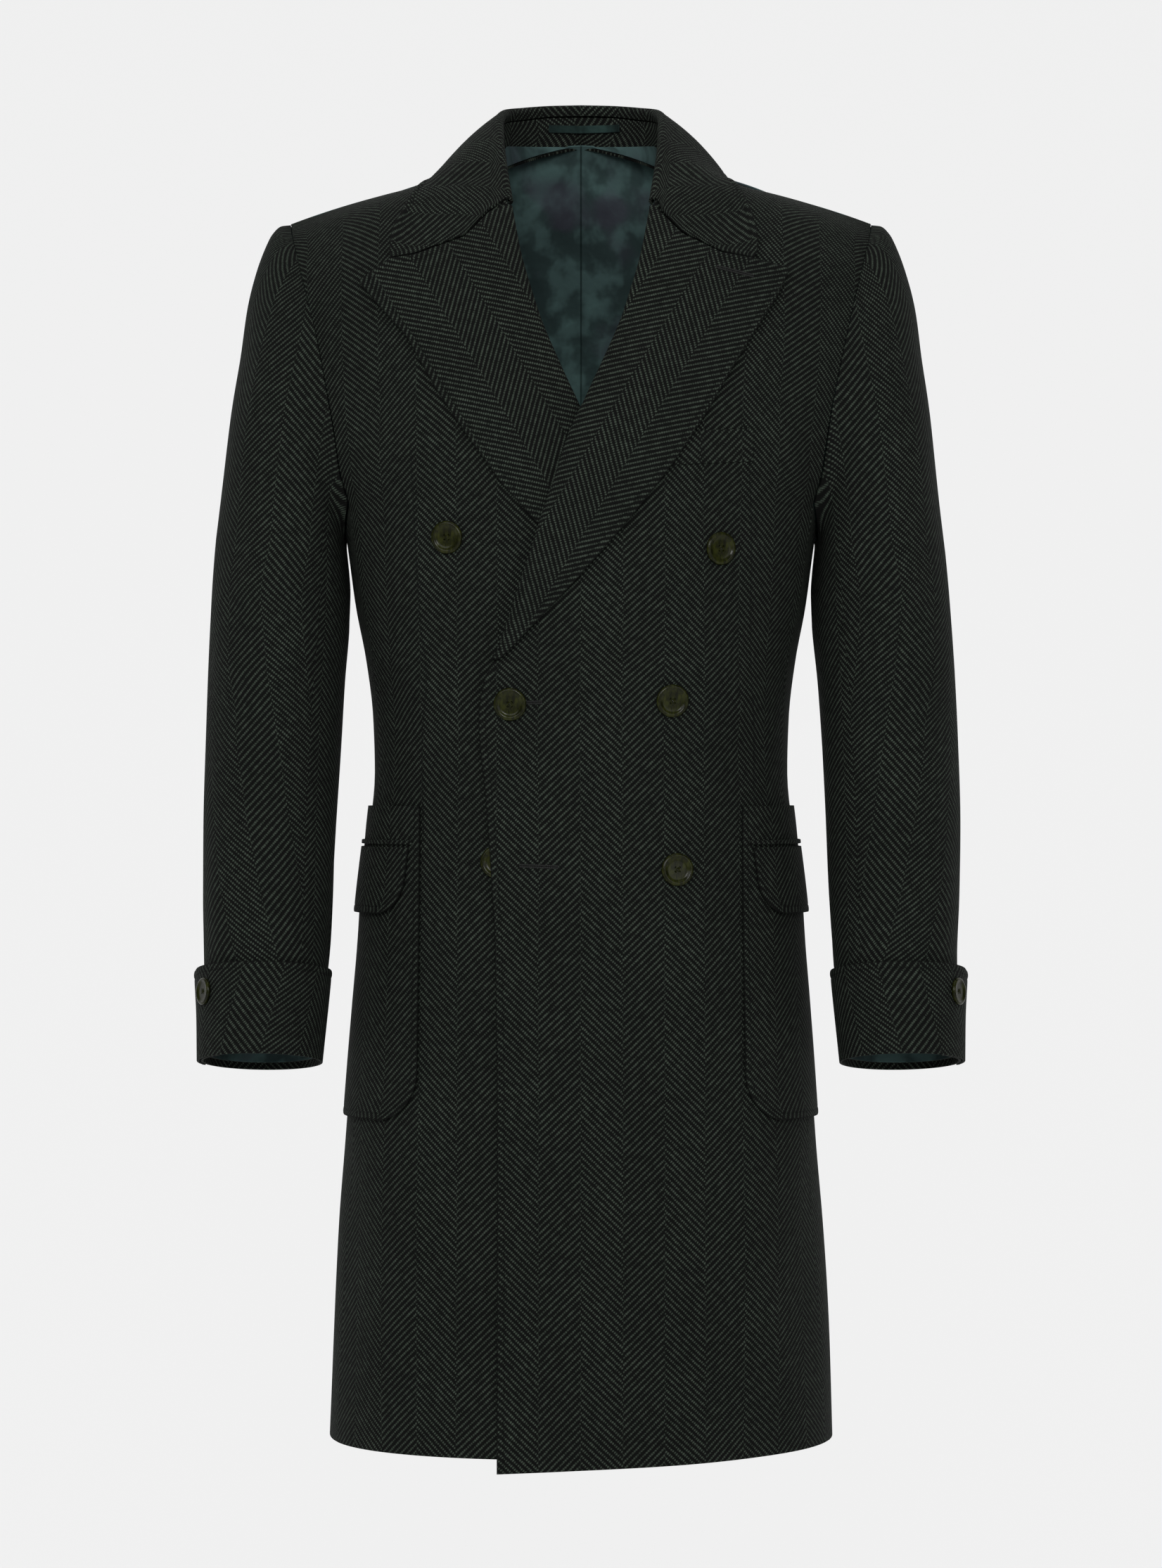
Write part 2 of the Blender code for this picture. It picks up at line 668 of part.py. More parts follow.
COLLAR_EDGE = {side: collar_edge_path(side) for side in (1, -1)}


def collar_lines(share, side):
    """The neck seam, fold and outer edge at this share, before mirroring."""
    fold = np.stack([smooth(COLLAR_FOLD["share"], COLLAR_FOLD[axis], share) for axis in "xyz"], axis=-1)
    knots, points = COLLAR_EDGE[side]
    edge = np.stack([smooth(knots, points[:, axis], share) for axis in range(3)], axis=-1)
    gap = np.linalg.norm(fold[:, None] - NECK_SEAM[None], axis=-1)
    return NECK_SEAM[np.argmin(gap, axis=1)], fold, edge


def collar_frame(share, side):
    """The lines of a section, with the direction up its crest and the one out across it."""
    seam, fold, edge = collar_lines(share, side)
    after = collar_lines(np.minimum(share + 0.02, 1), side)[1]
    before = collar_lines(np.maximum(share - 0.02, 0), side)[1]
    tangent = unit(after - before)
    crest = fold - (seam + edge) / 2
    crest = unit(crest - tangent * np.sum(crest * tangent, axis=-1, keepdims=True))
    return seam, fold, edge, crest, np.cross(crest, tangent)


def halves(place):
    """A piece that runs from the right end, past the centre back, to the left end."""

    def both(s, t):
        points = np.zeros((len(s), 3))
        for side in (1, -1):
            here = (s >= 0.5) if side > 0 else (s < 0.5)
            if here.any():
                points[here] = place(np.abs(2 * s[here] - 1), t[here], side) * (side, 1, 1)
        return points

    return both


def stand_drop(seam, fold):
    """How far below the fold the stand ends, less where the collar runs out at the gorge."""
    return np.minimum(STAND_SEAM_DROP, 0.5 * np.linalg.norm(fold - seam, axis=-1, keepdims=True))


def stand_half(s, t, side, out=0.0):
    """The stand, from the neck seam to its own top seam inside the fold."""
    share = s * STAND_SHARE
    seam, fold, _, crest, outward = collar_frame(share, side)
    top = fold - crest * stand_drop(seam, fold) - outward * FOLD_RADIUS
    low = seam + unit(top - seam) * STAND_START
    return low + (top - low) * t[:, None] - outward * out


COLLAR_DROP_SHARE, COLLAR_CREST_SHARE = 0.1, 0.5  # of the fall's rows: below the fold inside, then round it
COLLAR_SPREAD = ([0, 0.55, 1], [0, 0.66, 1])  # its columns crowd towards the gorge
COLLAR_BULGE = 5.0
SHOULDER_BEND, SHOULDER_FADE = 0.34, (0.08, 0.2)  # where along the collar it bends over the shoulder


def fall_half(s, t, side):
    """The fall, from its seam inside, over the fold and down to the outer edge."""
    share = np.interp(s, *COLLAR_SPREAD)
    seam, fold, edge, crest, outward = collar_frame(share, side)
    centre = fold - crest * FOLD_RADIUS
    angle = np.radians(np.interp(t, [COLLAR_DROP_SHARE, COLLAR_CREST_SHARE], [180, 0]))[:, None]
    bend = centre + FOLD_RADIUS * (outward * np.cos(angle) + crest * np.sin(angle))
    drop = np.maximum(stand_drop(seam, fold) - FOLD_RADIUS - 1.4, 0.4)
    bend = bend - crest * drop * np.clip(1 - t / COLLAR_DROP_SHARE, 0, 1)[:, None]
    out = np.clip((t - COLLAR_CREST_SHARE) / (1 - COLLAR_CREST_SHARE), 0, 1)
    start = centre + FOLD_RADIUS * outward
    leaf = start + (edge - start) * out[:, None]
    bulge = 4 * out * (1 - out) * COLLAR_BULGE * fade(share, 0.55, 0.95)
    leaf = leaf + unit(crest + outward) * bulge[:, None]
    gorge = LEFT_GORGE[:-1] if side > 0 else RIGHT_GORGE[:-1]
    flat = polyline(gorge, out)
    target = front_surface(flat[:, 0], flat[:, 1], side, COLLAR_OVER)
    leaf = leaf + (target - leaf) * (share**8 * fade(out, 0.12, 0))[:, None]
    over = COLLAR_OVER + SHOULDER_OVER * fade(np.abs(share - SHOULDER_BEND), *SHOULDER_FADE)
    leaf = held_clear(TREE, leaf, over * np.minimum(1, 0.7 + out * 2))
    return np.where((t < COLLAR_CREST_SHARE + 0.001)[:, None], bend, leaf)


# Pockets: arc distances round the coat from the centre front, and heights
PATCH_FRONT, PATCH_BACK = 128.0, 312.0
PATCH_TOP, PATCH_BOTTOM = -497.0, -739.0
PATCH_CORNER = 38.0
PATCH_OUT, PATCH_WALL = 3.5, 1.8
JET_Z, JET_HEIGHT = -525.0, 3.2
FLAP_TOP, FLAP_BOTTOM = -529.0, -580.0
FLAP_FRONT, FLAP_BACK = 137.0, 300.0
FLAP_CORNER = 26.0
FLAP_OUT, FLAP_FLARE = 5.8, 2.0
RING_STEPS = 160


def ring_full(level):
    """The ring from the centre front round to the centre back, for each level."""
    ring = {name: smooth(RINGS["level"], RINGS[name], level)[:, None] for name in RINGS}
    u = np.linspace(-1, 1, RING_STEPS)[None, :]
    power = 2 / np.where(u < 0, ring["n_front"], ring["n_back"])
    depth = np.where(u < 0, ring["front_y"], ring["back_y"]) - ring["side_y"]
    angle = np.abs(u) * math.pi / 2
    x = ring["half_width"] * np.cos(angle) ** power
    y = ring["side_y"] + depth * np.sin(angle) ** power
    return np.stack([x, y, np.repeat(level[:, None], RING_STEPS, axis=1)], axis=-1)


def ring_point(distance, level, out):
    """The point at this distance round the coat, moved out by this much."""
    rings = ring_full(level)
    steps = np.linalg.norm(np.diff(rings, axis=1), axis=2)
    length = steps.sum(axis=1)
    point = along(rings, distance / length)
    ahead = along(rings, (distance + 2) / length)
    behind = along(rings, (distance - 2) / length)
    tangent = unit(ahead - behind)
    normal = np.stack([-tangent[:, 1], tangent[:, 0], 0 * tangent[:, 0]], axis=-1)
    return point - normal * np.expand_dims(out, -1)


def corner_cut(share, radius):
    """How far a rounded corner pulls in the edge, at this distance from it."""
    inside = np.clip(1 - share / radius, 0, 1)
    return radius * (1 - np.sqrt(1 - inside**2))


def pocket_patch(s, t):
    z = PATCH_BOTTOM + (PATCH_TOP - PATCH_BOTTOM) * t
    front = PATCH_FRONT + corner_cut(z - PATCH_BOTTOM, PATCH_CORNER)
    return ring_point(front + (PATCH_BACK - front) * s, z, np.full_like(s, PATCH_OUT))


def pocket_jet(s, t):
    z = JET_Z + JET_HEIGHT * (t - 0.5)
    return ring_point(FLAP_FRONT - 3 + (FLAP_BACK - FLAP_FRONT + 6) * s, z, np.full_like(s, FLAP_OUT))


def pocket_flap(s, t):
    z = FLAP_BOTTOM + (FLAP_TOP - FLAP_BOTTOM) * t
    down = z - FLAP_BOTTOM
    cut = corner_cut(down, FLAP_CORNER)
    front = FLAP_FRONT + 6 * (1 - t) + cut
    back = FLAP_BACK - cut
    return ring_point(front + (back - front) * s, z, FLAP_OUT + FLAP_FLARE * (1 - t))


# Breast welt, partly under the left lapel
WELT_LOWER = ((62, -237.6), (130.8, -233.0))
WELT_HEIGHT = 25.0
WELT_OUT, WELT_WALL = 2.0, 1.0


def breast_welt(s, t):
    (x0, z0), (x1, z1) = WELT_LOWER
    x = x0 + (x1 - x0) * s
    z = z0 + (z1 - z0) * s + WELT_HEIGHT * t
    return front_surface(x, z, 1, WELT_OUT)


# Hanger loop inside the stand
LOOP_ENDS = (-26.0, 31.0)
LOOP_Z, LOOP_HEIGHT = 47.6, 6.2
LOOP_INSIDE, LOOP_BOW, LOOP_WALL = 2.4, 1.2, 1.0


def hanger_loop(s, t):
    x = LOOP_ENDS[0] + (LOOP_ENDS[1] - LOOP_ENDS[0]) * s
    shares = np.linspace(0, 0.4, 24)
    share = np.interp(np.abs(x), stand_half(shares, 0 * shares + 0.5, 1, LOOP_INSIDE)[:, 0], shares)
    z = LOOP_Z + LOOP_HEIGHT * (t - 0.5)
    low = stand_half(share, np.zeros_like(s), 1, LOOP_INSIDE)
    high = stand_half(share, np.ones_like(s), 1, LOOP_INSIDE)
    up = ((z - low[:, 2]) / (high[:, 2] - low[:, 2]))[:, None]
    points = low + (high - low) * up
    points[:, 0] = x
    points[:, 1] -= LOOP_BOW * np.sin(math.pi * s)
    return points


# Lining of the back, which shows in the neck opening
LINING_INSIDE, LINING_WALL = 2.5, 1.0
LINING_ROWS = BACK_ROW_AT[2] - 1


def back_lining(s, t):
    """Half of the lining, on the back's own grid from one row above the hem to the neck seam."""
    row = (1 + LINING_ROWS * t) / BACK_ROWS
    points = back_panel(s, row)
    level = np.interp(row * BACK_ROWS, BACK_ROW_AT, BACK_ROW_LEVEL)
    return points - body_normal(BACK, points[:, 0], np.minimum(level, 10)) * LINING_INSIDE


BUTTONS = {
    "button_upper_right": (-101.4, -291.3, -1),
    "button_upper_left": (104.9, -299.8, 1),
    "button_middle_right": (-52.0, -418.7, 1),
    "button_middle_left": (66.7, -416.0, 1),
    "button_lower_right": (-63.7, -539.6, -1),
    "button_lower_left": (72.0, -545.6, 1),
}
BUTTON_SEAT, CUFF_BUTTON_SEAT = 1.8, 0.95
BUTTON_HEIGHT = 3.6
BUTTON_STEPS = 14

COLOURS = {
    "overcoat_cloth": ((0.012, 0.016, 0.013, 1), 0.9),
    "satin_lining": ((0.02, 0.035, 0.034, 1), 0.4),
    "button_horn": ((0.016, 0.02, 0.006, 1), 0.25),
}


def clear_scene():
    for thing in list(bpy.data.objects):
        bpy.data.objects.remove(thing, do_unlink=True)


def material(name):
    colour, roughness = COLOURS[name]
    made = bpy.data.materials.get(name) or bpy.data.materials.new(name)
    made.use_nodes = True
    shader = made.node_tree.nodes["Principled BSDF"]
    shader.inputs["Base Color"].default_value = colour
    shader.inputs["Roughness"].default_value = roughness
    return made


def trimmed(points, gaps):
    """The grid with its left, right, bottom and top borders pulled in by these gaps."""
    left, right, bottom, top = gaps
    pulls = (
        ((slice(None), 0), (slice(None), 1), left),
        ((slice(None), -1), (slice(None), -2), right),
        (0, 1, bottom),
        (-1, -2, top),
    )
    for border, inner, gap in pulls:
        if gap:
            points[border] = points[border] + unit(points[inner] - points[border]) * gap
    return points


def sheet(group, name, place, columns, rows, finish, wall=CLOTH, side=1, gaps=(0, 0, 0, 0)):
    """One wall of cloth over a grid whose points place() gives in millimetres."""
    points = trimmed(grid_points(place, columns, rows), gaps).reshape(-1, 3) * (side, 1, 1) * MM
    mesh_data = bmesh.new()
    bmesh.ops.create_grid(mesh_data, x_segments=columns, y_segments=rows, size=0.5)
    for vertex, point in zip(mesh_data.verts, points):
        vertex.co = point
    mesh = bpy.data.meshes.new(name)
    mesh_data.to_mesh(mesh)
    mesh_data.free()
    mesh.shade_smooth()
    mesh.materials.append(material(finish))
    piece = bpy.data.objects.new(name, mesh)
    group.objects.link(piece)
    thickness = piece.modifiers.new("Wall", "SOLIDIFY")
    thickness.thickness = wall * MM
    thickness.offset = 0
    return piece


def button_mesh(name, radius):
    """A turned button with a raised rim and a dished middle."""
    height = BUTTON_HEIGHT * radius / BUTTON_RADIUS
    profile = (
        (0, 0.62),
        (0.66, 0.60),
        (0.80, 1.0),
        (0.96, 0.85),
        (1.0, 0.50),
        (0.92, 0),
        (0, 0),
    )
    drawing = bmesh.new()
    corners = [drawing.verts.new((r * radius * MM, 0, h * height * MM)) for r, h in profile]
    for first, second in zip(corners, corners[1:]):
        drawing.edges.new((first, second))
    mesh = bpy.data.meshes.new(name)
    drawing.to_mesh(mesh)
    drawing.free()
    mesh.materials.append(material("button_horn"))
    return mesh


def place_button(group, name, mesh, seat, normal):
    piece = bpy.data.objects.new(name, mesh)
    group.objects.link(piece)
    turn = piece.modifiers.new("Turn", "SCREW")
    turn.steps = BUTTON_STEPS
    turn.render_steps = BUTTON_STEPS
    turn.use_merge_vertices = True
    turn.merge_threshold = 0.00001
    piece.location = seat * MM
    piece.rotation_mode = "QUATERNION"
    piece.rotation_quaternion = Vector(normal).to_track_quat("Z", "Y")
    return piece


def build():
    clear_scene()
    group = bpy.data.collections.new("double_breasted_coat")
    bpy.context.scene.collection.children.link(group)
    cloth = "overcoat_cloth"
    sides = (("left", 1), ("right", -1))
    for word, side in sides:
        lap = (0, SEAM, 0, SHOULDER_SEAM)
        inside = (SEAM, LINING_SHORT, 0, LINING_SHORT)
        seams = (SIDE_SEAM, SIDE_SEAM, 0, SEAM)
        top = sleeve_panel(ELBOW_SEAM - 360, FOREARM_SEAM)
        under = sleeve_panel(FOREARM_SEAM, ELBOW_SEAM)
        sleeve = (SHOULDER_SEAM, SHOULDER_SEAM, 0, 0)
        pieces = (
            ("front_", front_panel(side), FRONT_COLUMNS, FRONT_ROWS, cloth, CLOTH, lap),
            ("side_", side_panel, 9, SIDE_ROWS, cloth, CLOTH, seams),
            ("back_", back_panel, BACK_COLUMNS, BACK_ROWS, cloth, CLOTH, (SEAM, SIDE_SEAM, 0, SHOULDER_SEAM)),
            ("back_lining_", back_lining, BACK_COLUMNS, LINING_ROWS, "satin_lining", LINING_WALL, inside),
            ("top_sleeve_", top, 12, 14, cloth, CLOTH, sleeve),
            ("under_sleeve_", under, 5, 14, cloth, CLOTH, sleeve),
            ("cuff_", cuff_strip, 26, 2, cloth, CLOTH, (0, 0, 0, 0)),
            ("lapel_", lapel(side), LAPEL_COLUMNS, LAPEL_ROWS, cloth, CLOTH, (0, 0, 0, SEAM)),
            ("pocket_", pocket_patch, 12, 5, cloth, PATCH_WALL, (0, 0, 0, 0)),
            ("pocket_jet_", pocket_jet, 12, 1, cloth, PATCH_WALL, (0, 0, 0, 0)),
            ("pocket_flap_", pocket_flap, 12, 3, cloth, PATCH_WALL, (0, 0, 0, 0)),
        )
        for name, place, columns, rows, finish, wall, gaps in pieces:
            sheet(group, name + word, place, columns, rows, finish, wall, side, gaps)
    sheet(group, "breast_welt", breast_welt, 6, 2, cloth, WELT_WALL)
    sheet(group, "collar_stand", halves(stand_half), 20, 2, cloth, gaps=(0, 0, 0, SEAM))
    sheet(group, "collar_fall", halves(fall_half), 24, 10, cloth, gaps=(SEAM, SEAM, SEAM, 0))
    sheet(group, "hanger_loop", hanger_loop, 6, 1, "satin_lining", LOOP_WALL)
    big = button_mesh("front_button", BUTTON_RADIUS)
    for name, (x, z, side) in BUTTONS.items():
        at = np.array([float(x * side)]), np.array([z])
        seat = front_surface(*at, side, 0.0)[0]
        outer = front_surface(*at, side, 10.0)[0]
        normal = unit(outer - seat)
        mirror = np.array([side, 1, 1])
        place_button(group, name, big, (seat + normal * BUTTON_SEAT) * mirror, normal * mirror)
    small = button_mesh("cuff_button", CUFF_BUTTON_RADIUS)
    for word, side in sides:
        at = np.array([CUFF_BUTTON_SECTION]), np.array([CUFF_BUTTON_TURN])
        low = sleeve_outside(*at, CUFF_OUT + CUFF_LAP)[0]
        normal = unit(sleeve_outside(*at, CUFF_OUT + CUFF_LAP + 10)[0] - low)
        mirror = np.array([side, 1, 1])
        seat = (low + normal * CUFF_BUTTON_SEAT) * mirror
        place_button(group, "cuff_button_" + word, small, seat, normal * mirror)


build()
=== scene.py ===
"""The looks of the double-breasted overcoat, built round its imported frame.

The front faces -Y and the wearer's left is +X. Lengths below are millimetres, and meshes are metres.
"""

import math

import bmesh
import bpy
import numpy as np
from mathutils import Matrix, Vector
from mathutils.bvhtree import BVHTree
from mathutils.kdtree import KDTree


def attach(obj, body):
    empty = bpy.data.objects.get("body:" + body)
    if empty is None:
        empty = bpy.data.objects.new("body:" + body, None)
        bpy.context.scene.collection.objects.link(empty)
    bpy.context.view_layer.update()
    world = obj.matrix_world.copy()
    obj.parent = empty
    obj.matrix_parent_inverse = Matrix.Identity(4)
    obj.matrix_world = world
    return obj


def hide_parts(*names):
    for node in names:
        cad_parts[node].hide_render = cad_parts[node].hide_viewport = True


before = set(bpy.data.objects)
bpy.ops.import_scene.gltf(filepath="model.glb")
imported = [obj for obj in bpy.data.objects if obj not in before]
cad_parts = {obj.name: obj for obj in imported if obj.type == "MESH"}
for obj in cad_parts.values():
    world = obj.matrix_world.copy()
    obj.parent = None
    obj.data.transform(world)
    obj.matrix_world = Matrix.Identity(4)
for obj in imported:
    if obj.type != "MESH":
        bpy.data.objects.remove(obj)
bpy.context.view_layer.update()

MM = 0.001
CLOTH = 2.0  # wall of the overcoating
SEAM = 0.05  # each panel stops this far short of a seam's middle
SHOULDER_SEAM = 0.4  # and this far where it lies on a bend
OVERLAP = -0.3  # the lining's halves pass under each other at the centre
LINING_OVER_NECK = -4.4  # and their tops pass in front of the neck seam
SAMPLES = 64  # points along a row, from which distances are measured

# Driving sizes
HEM_Z = -992.0
FRONT_DIP = 11.5  # the left front's hem hangs this much lower at its edge
GORGE_LEVEL = -28.0  # where the lapel's roll line meets the collar
LAP_LIFT = 3.2  # the left front stands this far off the right one
CROSSING_LIFT = 10.8  # and this far where the right lapel lies between them
LIFT_FADE = 75.0  # the left front settles back onto the body over this width
BUTTON_LIFT = 4.4  # and this much more over a covered button
LAPEL_LIFT = 4.2  # the middle of a turned lapel, above the middle of its front
WELT_ALLOWANCE = 0.6  # and this much more on the left, over the breast welt
ROLL_RADIUS = 2.45  # fold of the lapel round the front's edge
BUTTON_RADIUS = 12.6
CUFF_BUTTON_RADIUS = 10.5


def table(names, *rows):
    """Named columns, one value for each row."""
    return dict(zip(names.split(), np.array(rows, float).T))


RINGS = table(
    "level half_width side_y front_y back_y n_front n_back rho_back",
    (-995, 197.5, 10, -140, 148, 2.50, 2.40, 0.78),
    (-915, 195.0, 9, -136, 142, 2.48, 2.42, 0.77),
    (-830, 190.5, 7, -132, 136, 2.45, 2.44, 0.765),
    (-760, 185.0, 5, -128.5, 131, 2.42, 2.46, 0.76),
    (-694, 179.5, 3, -125, 126, 2.40, 2.48, 0.76),
    (-650, 175.5, 2, -123, 121, 2.38, 2.50, 0.76),
    (-605, 171.5, 1, -121, 115, 2.36, 2.50, 0.76),
    (-560, 168.8, 1, -119, 107, 2.35, 2.50, 0.765),
    (-516, 165.5, 2, -117.5, 98, 2.35, 2.50, 0.77),
    (-472, 162.0, 3, -117, 91, 2.35, 2.50, 0.785),
    (-427, 163.4, 4, -117.5, 89, 2.38, 2.52, 0.80),
    (-383, 168.5, 5, -119, 92.5, 2.41, 2.54, 0.82),
    (-340, 176.6, 6, -121.5, 99, 2.43, 2.56, 0.84),
    (-300, 182.0, 6, -124.5, 106, 2.45, 2.58, 0.87),
    (-262, 187.5, 6, -127, 112, 2.45, 2.60, 0.90),
    (-215, 196.0, 3, -127.5, 116, 2.45, 2.60, 0.93),
)

ROW_COLUMNS = "level z_middle z_end y_middle width side_y power rho droop"
FRONT_YOKE = table(
    ROW_COLUMNS,
    (-230, -230, -238, -128, 200, 1, 2.40, 0.9275, 2.0),
    (-188, -188, -203, -127, 212, 2, 2.35, 0.8986, 1.9),
    (-147, -147, -168, -123, 222, -1, 2.30, 0.8874, 1.9),
    (-107, -107, -136, -115, 232, 0, 2.25, 0.8793, 1.8),
    (-70, -70, -107, -103, 243, 7, 2.20, 0.8683, 1.7),
    (-36, -36, -82, -87, 253, 13, 2.15, 0.8597, 1.6),
    (-6, -8, -62, -64, 262, 22, 2.10, 0.8511, 1.8),
    (18, 4, -48, -30, 272, 20, 2.05, 0.8346, 1.9),
    (36, 6, -38, 14, 280, 0, 2.00, 0.8179, 2.0),
)
BACK_YOKE = table(
    ROW_COLUMNS,
    (-172, -172, -180, 117, 212, 4.3, 2.50, 0.8868, 2.0),
    (-130, -130, -149, 115, 225, 7, 2.40, 0.8644, 1.9),
    (-88, -88, -120, 110, 238, 3, 2.30, 0.8487, 1.8),
    (-50, -50, -93, 102, 250, -5, 2.20, 0.8380, 1.7),
    (-17, -17, -71, 93, 260, -17, 2.15, 0.8327, 1.6),
    (12, 12, -54, 88, 270, -26, 2.10, 0.8259, 1.6),
    (32, 33, -45, 80, 274, -20, 2.08, 0.8240, 1.6),
    (50, 24.5, -41, 62, 277, -12, 2.03, 0.8210, 1.6),
    (70, 6, -38, 14, 280, 0, 2.00, 0.8179, 2.0),
)
FRONT_SEAM_RHO = 0.955  # the seam to the side panel, as a share of the half width

FRONT_EDGE = table(
    "level x",
    (-1003, -63),
    (-718, -63),
    (-599, -64.5),
    (-539, -67),
    (-432, -75.5),
    (-399, -70.6),
    (-378, -59.3),
    (-355, -50.8),
    (-325, -41.8),
    (-301, -33.8),
    (-277, -26.8),
    (-253, -18.3),
    (-217, -6.8),
    (-188, 6.4),
    (-160, 19.2),
    (-126, 33.2),
    (-107, 39.2),
    (-70, 49.2),
    (-36, 55.2),
    (-20, 57.7),
    (0, 62),
    (18, 68),
    (36, 75),
)
BACK_NECK = table("level x", (-1000, 0), (32, 0), (50, 48), (70, 75))
SIDE_TOP = table("share z", (0, -262), (0.25, -283), (0.5, -289), (0.75, -268), (1, -215))


def smooth(knots, values, at):
    """A curve through the knots that never overshoots them."""
    at = np.clip(np.asarray(at, float), knots[0], knots[-1])
    step = np.diff(knots)
    slope = np.diff(values) / step
    tangent = np.concatenate([slope[:1], np.zeros(len(knots) - 2), slope[-1:]])
    same = slope[:-1] * slope[1:] > 0
    tangent[1:-1][same] = 2 * slope[:-1][same] * slope[1:][same] / (slope[:-1] + slope[1:])[same]
    i = np.clip(np.searchsorted(knots, at) - 1, 0, len(knots) - 2)
    u = (at - knots[i]) / step[i]
    return (
        values[i] * (1 + 2 * u) * (1 - u) ** 2
        + values[i + 1] * u * u * (3 - 2 * u)
        + step[i] * (tangent[i] * u * (1 - u) ** 2 - tangent[i + 1] * u * u * (1 - u))
    )


def fade(value, start, end):
    """1 up to start, easing to 0 at end, or the other way round where end is smaller."""
    u = np.clip((value - end) / (start - end), 0, 1)
    return u * u * (3 - 2 * u)


def ring_rows(front):
    """The rings below the armhole as rows of the front or of the back."""
    keep = slice(None, -1) if front else slice(None)
    level = RINGS["level"][keep]
    end = "front" if front else "back"
    rho = np.full(len(level), FRONT_SEAM_RHO) if front else RINGS["rho_back"][keep]
    return {
        "level": level,
        "z_middle": level,
        "z_end": level,
        "y_middle": RINGS[end + "_y"][keep],
        "width": RINGS["half_width"][keep],
        "side_y": RINGS["side_y"][keep],
        "power": RINGS["n_" + end][keep],
        "rho": rho,
        "droop": np.full(len(level), 2.0),
    }


def stacked(lower, upper):
    return {name: np.concatenate([lower[name], upper[name]]) for name in lower}


FRONT = stacked(ring_rows(True), FRONT_YOKE)
BACK = stacked(ring_rows(False), BACK_YOKE)


def body_point(rows, x, level):
    """The point of the body surface at x on the row of this level."""
    row = {name: smooth(rows["level"], rows[name], level) for name in rows}
    out = np.minimum(np.abs(x) / row["width"], 1)
    bow = (1 - out ** row["power"]) ** (1 / row["power"])
    y = row["side_y"] + (row["y_middle"] - row["side_y"]) * bow
    reach = (np.abs(x) / (row["rho"] * row["width"])) ** row["droop"]
    return np.stack([x + 0 * y, y, row["z_middle"] + (row["z_end"] - row["z_middle"]) * reach], axis=-1)


def unit(vectors):
    return vectors / np.maximum(np.linalg.norm(vectors, axis=-1, keepdims=True), 1e-9)


def body_normal(rows, x, level):
    """The outward direction of the body surface there."""
    low, high = rows["level"][0], rows["level"][-1]
    up = np.clip(level + 1, low, high)
    down = np.clip(level - 1, low, high)
    across = body_point(rows, x + 1, level) - body_point(rows, x - 1, level)
    along_side = body_point(rows, x, up) - body_point(rows, x, down)
    normal = unit(np.cross(across, along_side))
    return normal if rows is FRONT else -normal


def level_at(rows, x, z):
    """The level of the row that passes through x and z, by halving."""
    low = np.full(np.shape(z), rows["level"][0])
    high = np.full(np.shape(z), rows["level"][-1])
    for _ in range(30):
        middle = (low + high) / 2
        above = body_point(rows, x, middle)[..., 2] > z
        high = np.where(above, middle, high)
        low = np.where(above, low, middle)
    return (low + high) / 2


def along(curves, share):
    """The point at this share of the length of each curve."""
    steps = np.linalg.norm(np.diff(curves, axis=1), axis=2)
    reach = np.concatenate([np.zeros((len(steps), 1)), np.cumsum(steps, axis=1)], axis=1)
    points = [
        [np.interp(f * r[-1], r, c[:, axis]) for axis in range(3)]
        for f, r, c in zip(share, reach, curves)
    ]
    return np.array(points)


def lap_lift(x, z):
    """How far the left front stands off the right one, to clear the right lapel and a covered button."""
    edge = smooth(FRONT_EDGE["level"], FRONT_EDGE["x"], z)
    crossing = fade(z, -395, -505) * fade(z, -190, -110)
    lift = LAP_LIFT * fade(z, -190, -110) + (CROSSING_LIFT - LAP_LIFT) * crossing
    zone = np.maximum(40, 12 - edge)
    over_button = BUTTON_LIFT * fade(np.hypot(x + 64, z + 540), 20, 62)
    return (lift + over_button) * fade(x, zone, zone + LIFT_FADE)


FRONT_ROW_AT = (0, 6, 13, 17, 24, 27)  # rows of the front's grid that lie at these levels
FRONT_ROW_LEVEL = (HEM_Z, -602, -384, -262, -30, 36)
FRONT_ROWS = FRONT_ROW_AT[-1]
LAPEL_ROW_AT = (0, 4, 11)  # the lapel's rows keep to the front's
LAPEL_ROW_LEVEL = FRONT_ROW_LEVEL[2:5]
LAPEL_ROWS = LAPEL_ROW_AT[-1]


def front_point(x, level, side):
    """A point of a front's middle surface. side is 1 on the left, which laps over the right."""
    base = body_point(FRONT, x, level)
    if side < 0:
        return base
    return base + body_normal(FRONT, x, level) * lap_lift(x, base[:, 2])[:, None]


def front_normal(x, level, side):
    """The outward direction of a front there."""
    up = np.minimum(level + 3, FRONT["level"][-1])
    across = front_point(x + 3, level, side) - front_point(x - 3, level, side)
    return unit(np.cross(across, front_point(x, up, side) - front_point(x, level - 3, side)))


def front_panel(side):
    """Rows from the hem to the shoulder, each from the front's edge to the side seam."""

    def place(s, t):
        level = np.interp(t * FRONT_ROWS, FRONT_ROW_AT, FRONT_ROW_LEVEL)
        edge = smooth(FRONT_EDGE["level"], FRONT_EDGE["x"], level)
        end = smooth(FRONT["level"], FRONT["rho"] * FRONT["width"], level)
        x = edge[:, None] + (end - edge)[:, None] * np.linspace(0, 1, SAMPLES)
        points = along(body_point(FRONT, x, np.repeat(level[:, None], SAMPLES, axis=1)), s)
        points = front_point(points[:, 0], level, side)
        dip = FRONT_DIP if side > 0 else 1.0
        points[:, 2] -= dip * (1 - s) ** 1.3 * fade(level, HEM_Z, HEM_Z + 110)
        return points

    return place


